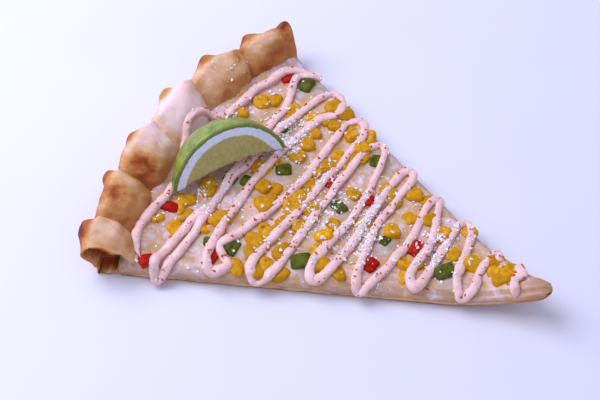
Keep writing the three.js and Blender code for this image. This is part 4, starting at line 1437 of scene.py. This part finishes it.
def make_strand(crust):
    path = smooth_path(strand_bends(), STRAND_STEPS)
    along, across, thickness = path.T
    line = spot(along, across, strand_height(along, across))
    for axis in range(2):
        line[:, axis] += layered_relief(line, STRAND_SWAY, axis)
    rest_on_rim(line, crust)
    thickness = thickness + layered_relief(line, STRAND_UNEVEN)
    walked = np.concatenate([[0], np.cumsum(np.linalg.norm(np.diff(line, axis=0), axis=1))])
    end = np.sqrt(np.clip((walked[-1] - walked) / STRAND_END, STRAND_END_LEAST, 1))
    thickness = np.maximum(STRAND_BREAK, thickness * end * np.clip(walked / STRAND_START, 0, 1))
    line[:, 2] -= (1 - np.minimum(thickness, 1)) * STRAND_HEIGHT / 2  # a thin place lies lower
    strand = mesh_piece("sauce_strand", line, [])
    strand.data.edges.add(len(line) - 1)
    for index, edge in enumerate(strand.data.edges):
        edge.vertices = (index, index + 1)
    paint(strand, "thickness", thickness)
    growth = Growth("sauce_along_path")
    width = growth.size("Width", STRAND_WIDTH * MM)
    height = growth.size("Height", STRAND_LOW * STRAND_HEIGHT * MM)
    curve = growth.add("GeometryNodeMeshToCurve", {"Mesh": growth.source.outputs["Geometry"]})
    upright = growth.add("GeometryNodeSetCurveNormal", {"Curve": curve.outputs["Curve"]}, mode="Z_UP")
    circle = growth.add("GeometryNodeCurvePrimitiveCircle", {"Resolution": STRAND_PROFILE, "Radius": 0.5})
    flat = growth.add("ShaderNodeCombineXYZ", {"X": width, "Y": height, "Z": 1.0})
    oval = growth.add("GeometryNodeTransform", {
        "Geometry": circle.outputs["Curve"], "Scale": flat.outputs["Vector"]})
    swept = growth.add("GeometryNodeCurveToMesh", {
        "Curve": upright.outputs["Curve"], "Profile Curve": oval.outputs["Geometry"],
        "Scale": growth.attribute("thickness"), "Fill Caps": True})
    growth.finish(swept.outputs["Mesh"], sauce_finish())
    growth.grow(strand)
    settle_strand(strand, line)
    hand_over(strand, "sauce", "cheese")
    return strand


# Diced peppers

DIE_STEPS = 8
DIE_SQUARENESS = 5
DIE_CORNERS = 0.16  # how far each corner is off its place
DIE_CUPPING = {"depth": 0.14, "level": 0.4}
DIE_RELIEF = ((0.16, 2.2, 0),)
CUT_SIDES = (0.8, 1)
CUT_BELOW_SKIN = (-0.9, 0.2)
# Kinds: slot and name, places, first seed, then the colours of dark and light skin and of cut flesh
PEPPERS = (
    ("red_pepper", RED_PLACES, 100, (0.30, 0.008, 0.004), (0.50, 0.018, 0.006), (0.54, 0.05, 0.016)),
    ("green_pepper", GREEN_PLACES, 200, (0.050, 0.052, 0.006), (0.13, 0.15, 0.012), (0.22, 0.29, 0.03)),
)


def die_skin():
    """A cube's skin of small squares, from -1 to 1"""
    shape = bmesh.new()
    bmesh.ops.create_cube(shape, size=2)
    bmesh.ops.subdivide_edges(shape, edges=shape.edges[:], cuts=DIE_STEPS - 1, use_grid_fill=True)
    points = np.array([corner.co for corner in shape.verts])
    faces = [[corner.index for corner in face.verts] for face in shape.faces]
    shape.free()
    return points, faces


def die_turn(place):
    """The die's own turn: heading, then lean, then tilt"""
    return np.array(Matrix.Rotation(place["tilt"], 3, "X") @ Matrix.Rotation(place["lean"], 3, "Y")
                    @ Matrix.Rotation(place["heading"], 3, "Z"))


def make_die(name, place, seed, slot, finish):
    cube, faces = die_skin()
    draw = np.random.default_rng(seed)
    rounded = cube / (np.abs(cube) ** DIE_SQUARENESS).sum(1, keepdims=True) ** (1 / DIE_SQUARENESS)
    corners = draw.uniform(-DIE_CORNERS, DIE_CORNERS, (2, 2, 2, 3))
    shares = (cube + 1) / 2
    for corner in np.ndindex(2, 2, 2):
        weight = np.abs(1 - np.array(corner) - shares).prod(1)
        rounded = rounded + weight[:, None] * corners[corner]
    half = 0.5 * place["edge"] * np.array([1, DICE["flat"], DICE["thick"]])
    local = rounded * half
    cupping = 0.5 * place["edge"] * DIE_CUPPING["depth"]
    local[:, 2] -= cupping * (rounded[:, 0] ** 2 - DIE_CUPPING["level"])
    local += jitter(local, DIE_RELIEF, seed)
    z = cheese_top(place["along"], place["across"]) + half[2] * (1 - 2 * DICE["sunk_share"])
    points = local @ die_turn(place).T + spot(place["along"], place["across"], z)
    die = mesh_piece(name + "_diced", points, faces)
    at_side = smoothstep(np.abs(cube[:, :2]).max(1), *CUT_SIDES)
    paint(die, "cut", at_side * smoothstep(-cube[:, 2], *CUT_BELOW_SKIN))
    die.data.materials.append(finish)
    hand_over(die, slot, name)
    return die


def make_peppers():
    dice = []
    for kind, places, first_seed, *colours in PEPPERS:
        finish = pepper_finish(kind, *colours)
        for index, place in enumerate(places):
            dice.append(make_die(f"{kind}_{index + 1}", place, first_seed + index, kind, finish))
    return dice


# Lime wedge

LIME_LENGTHS = 90
LIME_ROUND = 44
LIME_INWARDS = 30
LIME_CROWDING = 0.9
LIME_POLES = 0.06  # how far short of the poles, as a turn, the loops end
LIME_BEVEL = {"depth": 0.5, "width": 0.8}
LIME_CORE = {"middle": 3.4, "ends": 0.8, "most": 0.5}  # what is cut off the core edge
LIME_RAGGED = ((1, 3.2, 3.7), (0.5, 1.2, 8.1))  # of that cut: height, size and row of the noise
LIME_RAGGED_RADIUS = 8
LIME_FLESH = (5.2, 6.6)  # the depths under the rind between which the flesh starts
LIME_GRAIN = {"outwards": 0.7, "lengthways": 1.2, "size": 1.6, "seed": 61}
LIME_SUNK = {"mean": 0.25, "swing": 0.5}
RIND_POINTS = 400


def lime_profile(turn):
    """Distance from the lime's axis, and place along it, by the turn from pole to pole"""
    pole = LIME["nipple"] * np.abs(np.cos(turn)) ** LIME_POLE_SHARPNESS
    lengthways = -np.cos(turn) * LIME["half_length"] - np.sign(np.cos(turn)) * pole
    return LIME["radius"] * np.sin(turn), lengthways


def lime_stand(outwards, lengthways, sideways):
    """Points of the wedge, given from its core edge outwards, put where the wedge lies"""
    lift = LIME["wedge"] / 2 + LIME["tilt"]
    out = outwards * np.cos(lift) - sideways * np.sin(lift)
    up = outwards * np.sin(lift) + sideways * np.cos(lift)
    heading = LIME_PLACE["heading"]
    along = LIME_PLACE["along"] + lengthways * np.cos(heading) + out * np.sin(heading)
    across = LIME_PLACE["across"] + lengthways * np.sin(heading) - out * np.cos(heading)
    return spot(along, across, LIME_PLACE["z"] + up)


def core_cut(radius, lengthways):
    """How far from the axis the wedge's ragged core edge lies"""
    bow = LIME_CORE["middle"] * (1 - (lengthways / LIME["half_length"]) ** 2)
    even = min(LIME_CORE["most"] * radius, bow + LIME_CORE["ends"])
    ragged = 0
    for height, size, row in LIME_RAGGED:
        ragged += height * noise.noise(Vector((lengthways / size, row, 0)))
    return even + min(1, radius / LIME_RAGGED_RADIUS) * ragged


def spot_on_face(outs, lengthways):
    """Places on a cut face, stretched the way that the juice sacs lie"""
    stretched = np.full_like(outs, lengthways * LIME_GRAIN["lengthways"])
    return np.stack([outs * LIME_GRAIN["outwards"], stretched, np.zeros_like(outs)], axis=-1)


def lime_loops():
    """Loops round the wedge at places along it: out over one cut face, round the rind and back"""
    half = LIME["wedge"] / 2
    spread = np.linspace(half, -half, LIME_ROUND + 2)[1:-1]
    on_rind = np.zeros(LIME_ROUND)
    rind_radius, rind_lengthways = lime_profile(np.linspace(0, np.pi, RIND_POINTS))
    loops = []
    depths = []
    vesicles = []
    for turn in np.linspace(LIME_POLES, np.pi - LIME_POLES, LIME_LENGTHS):
        radius, lengthways = lime_profile(turn)
        core = core_cut(radius, lengthways)
        outs = core + (radius - core) * np.linspace(0, 1, LIME_INWARDS) ** LIME_CROWDING
        from_rind = np.hypot(rind_radius - outs[:, None], rind_lengthways - lengthways)
        face_depth = from_rind.min(1)
        on_face = spot_on_face(outs, lengthways)
        grain = relief(on_face, LIME_GRAIN["size"], LIME_GRAIN["seed"]) * 0.5 + 0.5
        hollow = LIME_SUNK["mean"] + LIME_SUNK["swing"] * (grain - 0.5)
        bevel = LIME_BEVEL["depth"] * smoothstep(outs, radius - LIME_BEVEL["width"], radius)
        sunk = smoothstep(face_depth, *LIME_FLESH) * hollow + bevel
        face = (outs * np.cos(half), outs * np.sin(half) - sunk)
        outwards = np.concatenate([face[0], radius * np.cos(spread), face[0][::-1]])
        sideways = np.concatenate([face[1], radius * np.sin(spread), -face[1][::-1]])
        loops.append(lime_stand(outwards, np.full_like(outwards, lengthways), sideways))
        depths.append(np.concatenate([face_depth, on_rind, face_depth[::-1]]))
        vesicles.append(np.concatenate([grain, on_rind, grain[::-1]]))
    return np.array(loops), np.array(depths), np.array(vesicles)


def make_lime():
    loops, depths, vesicles = lime_loops()
    lime = mesh_piece("lime_wedge_cut", *loft(loops))
    hubs = [0, 0]
    paint(lime, "depth", np.append(depths.ravel(), hubs))
    paint(lime, "vesicle", np.append(vesicles.ravel(), hubs))
    lime.data.materials.append(lime_finish())
    hand_over(lime, "lime", "lime_wedge")
    return lime


# Crumbled cheese and chilli, scattered over what lies on top

# Heaps of crumbs and clusters of flakes: along, across, size, strength
CRUMB_HEAPS = (
    (144, 32, 8, 1.0), (140, 23, 7, 1.0), (117, 10, 9, 0.8), (108, -3, 9, 0.9), (97, -2, 9, 1.0),
    (87, -6, 9, 1.0), (84, -15, 8, 0.9), (87, 10, 8, 0.8), (51, 4, 8, 1.0), (50, 12, 6, 0.7),
    (51, -6, 6, 0.6), (155, -26, 7, 0.8), (109, -15, 8, 0.6), (145, 13, 7, 0.5), (168, 30, 9, 0.5),
)
FLAKE_CLUSTERS = (
    (126, -4, 5, 1.0), (90, 11, 6, 1.0), (129, 7, 7, 0.4), (176, -42, 8, 0.4), (93, -23, 7, 0.4),
    (63, -5, 8, 0.4), (126, -20, 8, 0.5), (110, -10, 8, 0.4), (150, 5, 8, 0.5),
)
CRUMBS = {"most": 600000, "sizes": (0.45, 2.1), "skew": 1.8, "flatness": 0.6, "seed": 3}
FLAKES = {"most": 120000, "sizes": (0.5, 2.0), "skew": 1.5, "flatness": 0.35, "seed": 8}
CRUMB_SHARES = {"crust": 0.0, "cheese": 1.0, "corn": 0.8, "strand": 1.3, "dice": 0.7, "lime": 0.08}
FLAKE_SHARES = {"cheese": 0.5, "corn": 0.4, "strand": 2.4, "dice": 0.4}
CRUMB_BACKGROUND = 0.06
FLAKE_BACKGROUND = 0.16
CRUMBS_FROM_TIP = (15, 60)
CRUMB_GAPS = {"size": 5, "seed": 81, "span": (-0.1, 0.4), "least": 0.25, "more": 1.5}
# A few crumbs on one lobe of the rim
RIM_CRUMBS = {"radius": 192, "angle": degrees(12.2), "z": 20, "size": 9, "strength": 0.2}
LANDING = (0.25, 0.6)  # how far a face has to look up for grains to lie on it
GRAIN_SHAPES = 3
GRAIN_LUMPS = {"scale": 2.3, "apart": 5, "depth": 2.4}
GRAIN_WIDTH = 0.7
GRAIN_LEAN = 0.6
FULL_TURN = 6.283


def heap_strength(along, across, heaps):
    strength = np.zeros(np.shape(along))
    for heap_along, heap_across, size, amount in heaps:
        strength += amount * bell(np.hypot(along - heap_along, across - heap_across), size)
    return strength


def landing_surface(pieces, shares):
    """One mesh of everything that grains can land on, with each corner's share of them"""
    shape = bmesh.new()
    counts = []
    strengths = []
    for kind, share in shares.items():
        for piece in pieces[kind]:
            shape.from_mesh(piece.data)
            counts.append(len(shape.verts))
            strengths.append(share)
    mesh = bpy.data.meshes.new("landing_surface")
    shape.to_mesh(mesh)
    shape.free()
    surface = new_object("landing_surface", mesh)
    share = np.zeros(counts[-1])
    for start, end, strength in zip([0, *counts], counts, strengths):
        share[start:end] = strength
    return surface, share * smoothstep(normals_of(surface)[:, 2], *LANDING)


def grain_shapes(growth, flatness):
    """A few lumpy grains of size 1, for the scatter to pick from"""
    joined = growth.add("GeometryNodeJoinGeometry")
    for variant in range(GRAIN_SHAPES):
        ball = growth.add("GeometryNodeMeshIcoSphere", {"Radius": 0.5, "Subdivisions": 1})
        lumps = growth.add("ShaderNodeTexNoise", {
            "Scale": GRAIN_LUMPS["scale"], "W": variant * GRAIN_LUMPS["apart"], "Detail": 1.0},
            noise_dimensions="4D")
        shift = growth.add("ShaderNodeVectorMath", {0: lumps.outputs["Color"], 1: (0.5, 0.5, 0.5)},
                           operation="SUBTRACT")
        rough = growth.add("ShaderNodeVectorMath", {
            0: shift.outputs["Vector"], "Scale": GRAIN_LUMPS["depth"]}, operation="SCALE")
        moved = growth.add("GeometryNodeSetPosition", {
            "Geometry": ball.outputs["Mesh"], "Offset": rough.outputs["Vector"]})
        squashed = growth.add("GeometryNodeTransform", {
            "Geometry": moved.outputs["Geometry"], "Scale": (1.0, GRAIN_WIDTH, flatness)})
        grain = growth.add("GeometryNodeGeometryToInstance", {"Geometry": squashed.outputs["Geometry"]})
        growth.feed(joined.inputs["Geometry"], grain.outputs["Instances"])
    return joined.outputs["Geometry"]


def scatter(name, surface, density, grains, material):
    """Grows small grains over the surface, as one plain mesh in its place"""
    piece = new_object(name, surface.data.copy())
    drop_object(surface)
    paint(piece, "density", density)
    growth = Growth(name + "_scatter")
    most = growth.size("Grains per square metre", grains["most"])
    smallest = growth.size("Smallest", grains["sizes"][0] * MM)
    largest = growth.size("Largest", grains["sizes"][1] * MM)
    seed = growth.size("Seed", grains["seed"], "NodeSocketInt")
    points = growth.add("GeometryNodeDistributePointsOnFaces", {
        "Mesh": growth.source.outputs["Geometry"], "Seed": seed,
        "Density": growth.math("MULTIPLY", growth.attribute("density"), most)})
    least_turn = (-GRAIN_LEAN, -GRAIN_LEAN, 0)
    most_turn = (GRAIN_LEAN, GRAIN_LEAN, FULL_TURN)
    turn = growth.draw("FLOAT_VECTOR", seed, least_turn, most_turn)
    skewed = growth.math("POWER", growth.draw("FLOAT", seed, 0, 1), grains["skew"])
    size = growth.add("ShaderNodeMapRange", {"Value": skewed, "To Min": smallest, "To Max": largest})
    planted = growth.plant(points.outputs["Points"], grain_shapes(growth, grains["flatness"]), GRAIN_SHAPES,
                           turn, size.outputs["Result"], seed)
    growth.finish(planted, material, rounded=False)
    growth.grow(piece)
    return piece


def make_crumbs(pieces):
    surface, share = landing_surface(pieces, CRUMB_SHARES)
    points = points_of(surface)
    along, across = plan_of(points)
    thin = CRUMB_BACKGROUND * smoothstep(along, *CRUMBS_FROM_TIP)
    rim_spot = polar_spot(RIM_CRUMBS["radius"], RIM_CRUMBS["angle"], RIM_CRUMBS["z"])
    on_rim = RIM_CRUMBS["strength"] * bell(np.linalg.norm(points - rim_spot, axis=1), RIM_CRUMBS["size"])
    density = share * (thin + heap_strength(along, across, CRUMB_HEAPS)) + on_rim
    patchy = smoothstep(relief(points, CRUMB_GAPS["size"], CRUMB_GAPS["seed"]), *CRUMB_GAPS["span"])
    density = density * (CRUMB_GAPS["least"] + CRUMB_GAPS["more"] * patchy)
    hand_over(scatter("cheese_crumbs", surface, density, CRUMBS, crumb_finish()), "crumbled_cheese")


def make_flakes(pieces):
    surface, share = landing_surface(pieces, FLAKE_SHARES)
    along, across = plan_of(points_of(surface))
    density = share * (FLAKE_BACKGROUND + heap_strength(along, across, FLAKE_CLUSTERS))
    hand_over(scatter("chilli_flakes", surface, density, FLAKES, chilli_finish()), "chilli")


# Floor, light and camera

FLOOR_SIDE = 4000
SKY_COLOUR = (0.80, 0.83, 1.20)
SKY_STRENGTH = 0.62
KEY_COLOUR = (0.84, 0.85, 1.12)
KEY_POWER = 9
KEY_SIZE = 0.7
KEY_DISTANCE = 1.0
KEY_LEFT = 0.75  # how far to the left and away from the camera the light stands, for each step up
KEY_AWAY = 0.35
CAMERA_NEAREST = 0.01


def make_floor():
    reach = FLOOR_SIDE / 2
    corners = [[-reach, -reach, 0], [reach, -reach, 0], [reach, reach, 0], [-reach, reach, 0]]
    floor = mesh_piece("floor", corners, [[0, 1, 2, 3]])
    floor.data.materials.append(floor_finish())


def camera_axes():
    """The camera's right, up and back directions"""
    back = np.array([np.sin(CAMERA_AZIMUTH) * np.cos(CAMERA_ELEVATION),
                     -np.cos(CAMERA_AZIMUTH) * np.cos(CAMERA_ELEVATION), np.sin(CAMERA_ELEVATION)])
    level = np.array([np.cos(CAMERA_AZIMUTH), np.sin(CAMERA_AZIMUTH), 0])
    steep = np.cross(back, level)
    right = np.cos(CAMERA_ROLL) * level + np.sin(CAMERA_ROLL) * steep
    up = np.cos(CAMERA_ROLL) * steep - np.sin(CAMERA_ROLL) * level
    return right, up, back


def make_camera():
    right, up, back = camera_axes()
    data = bpy.data.cameras.new("camera")
    data.lens = CAMERA_LENS
    data.sensor_width = CAMERA_SENSOR
    data.clip_start = CAMERA_NEAREST
    camera = new_object("camera", data)
    look = spot(LOOK_ALONG, LOOK_ACROSS, 0)
    place = (look + back * CAMERA_DISTANCE) * MM
    camera.matrix_world = Matrix.Translation(place) @ Matrix(np.stack([right, up, back], axis=1)).to_4x4()
    bpy.context.scene.camera = camera


def make_light():
    world = bpy.data.worlds.new("soft_sky")
    bpy.context.scene.world = world
    world.use_nodes = True
    sky = world.node_tree.nodes["Background"]
    sky.inputs["Color"].default_value = (*SKY_COLOUR, 1)
    sky.inputs["Strength"].default_value = SKY_STRENGTH
    data = bpy.data.lights.new("key", "AREA")
    data.energy = KEY_POWER
    data.size = KEY_SIZE
    data.color = KEY_COLOUR
    key = new_object("key", data)
    right, _, back = camera_axes()
    away = Vector((-back[0], -back[1], 0)).normalized()
    direction = (Vector(right) * -KEY_LEFT + away * KEY_AWAY + Vector((0, 0, 1))).normalized()
    key.location = direction * KEY_DISTANCE
    key.rotation_euler = direction.to_track_quat("Z", "Y").to_euler()
    bpy.context.scene.view_settings.view_transform = "Standard"


make_camera()
make_light()
make_floor()
crust = make_crust()
layer = make_cheese()
corn = make_corn()
strand = make_strand(crust)
dice = make_peppers()
lime = make_lime()
landings = {
    "crust": [crust], "cheese": [layer], "corn": [corn], "strand": [strand], "dice": dice, "lime": [lime],
}
make_crumbs(landings)
make_flakes(landings)
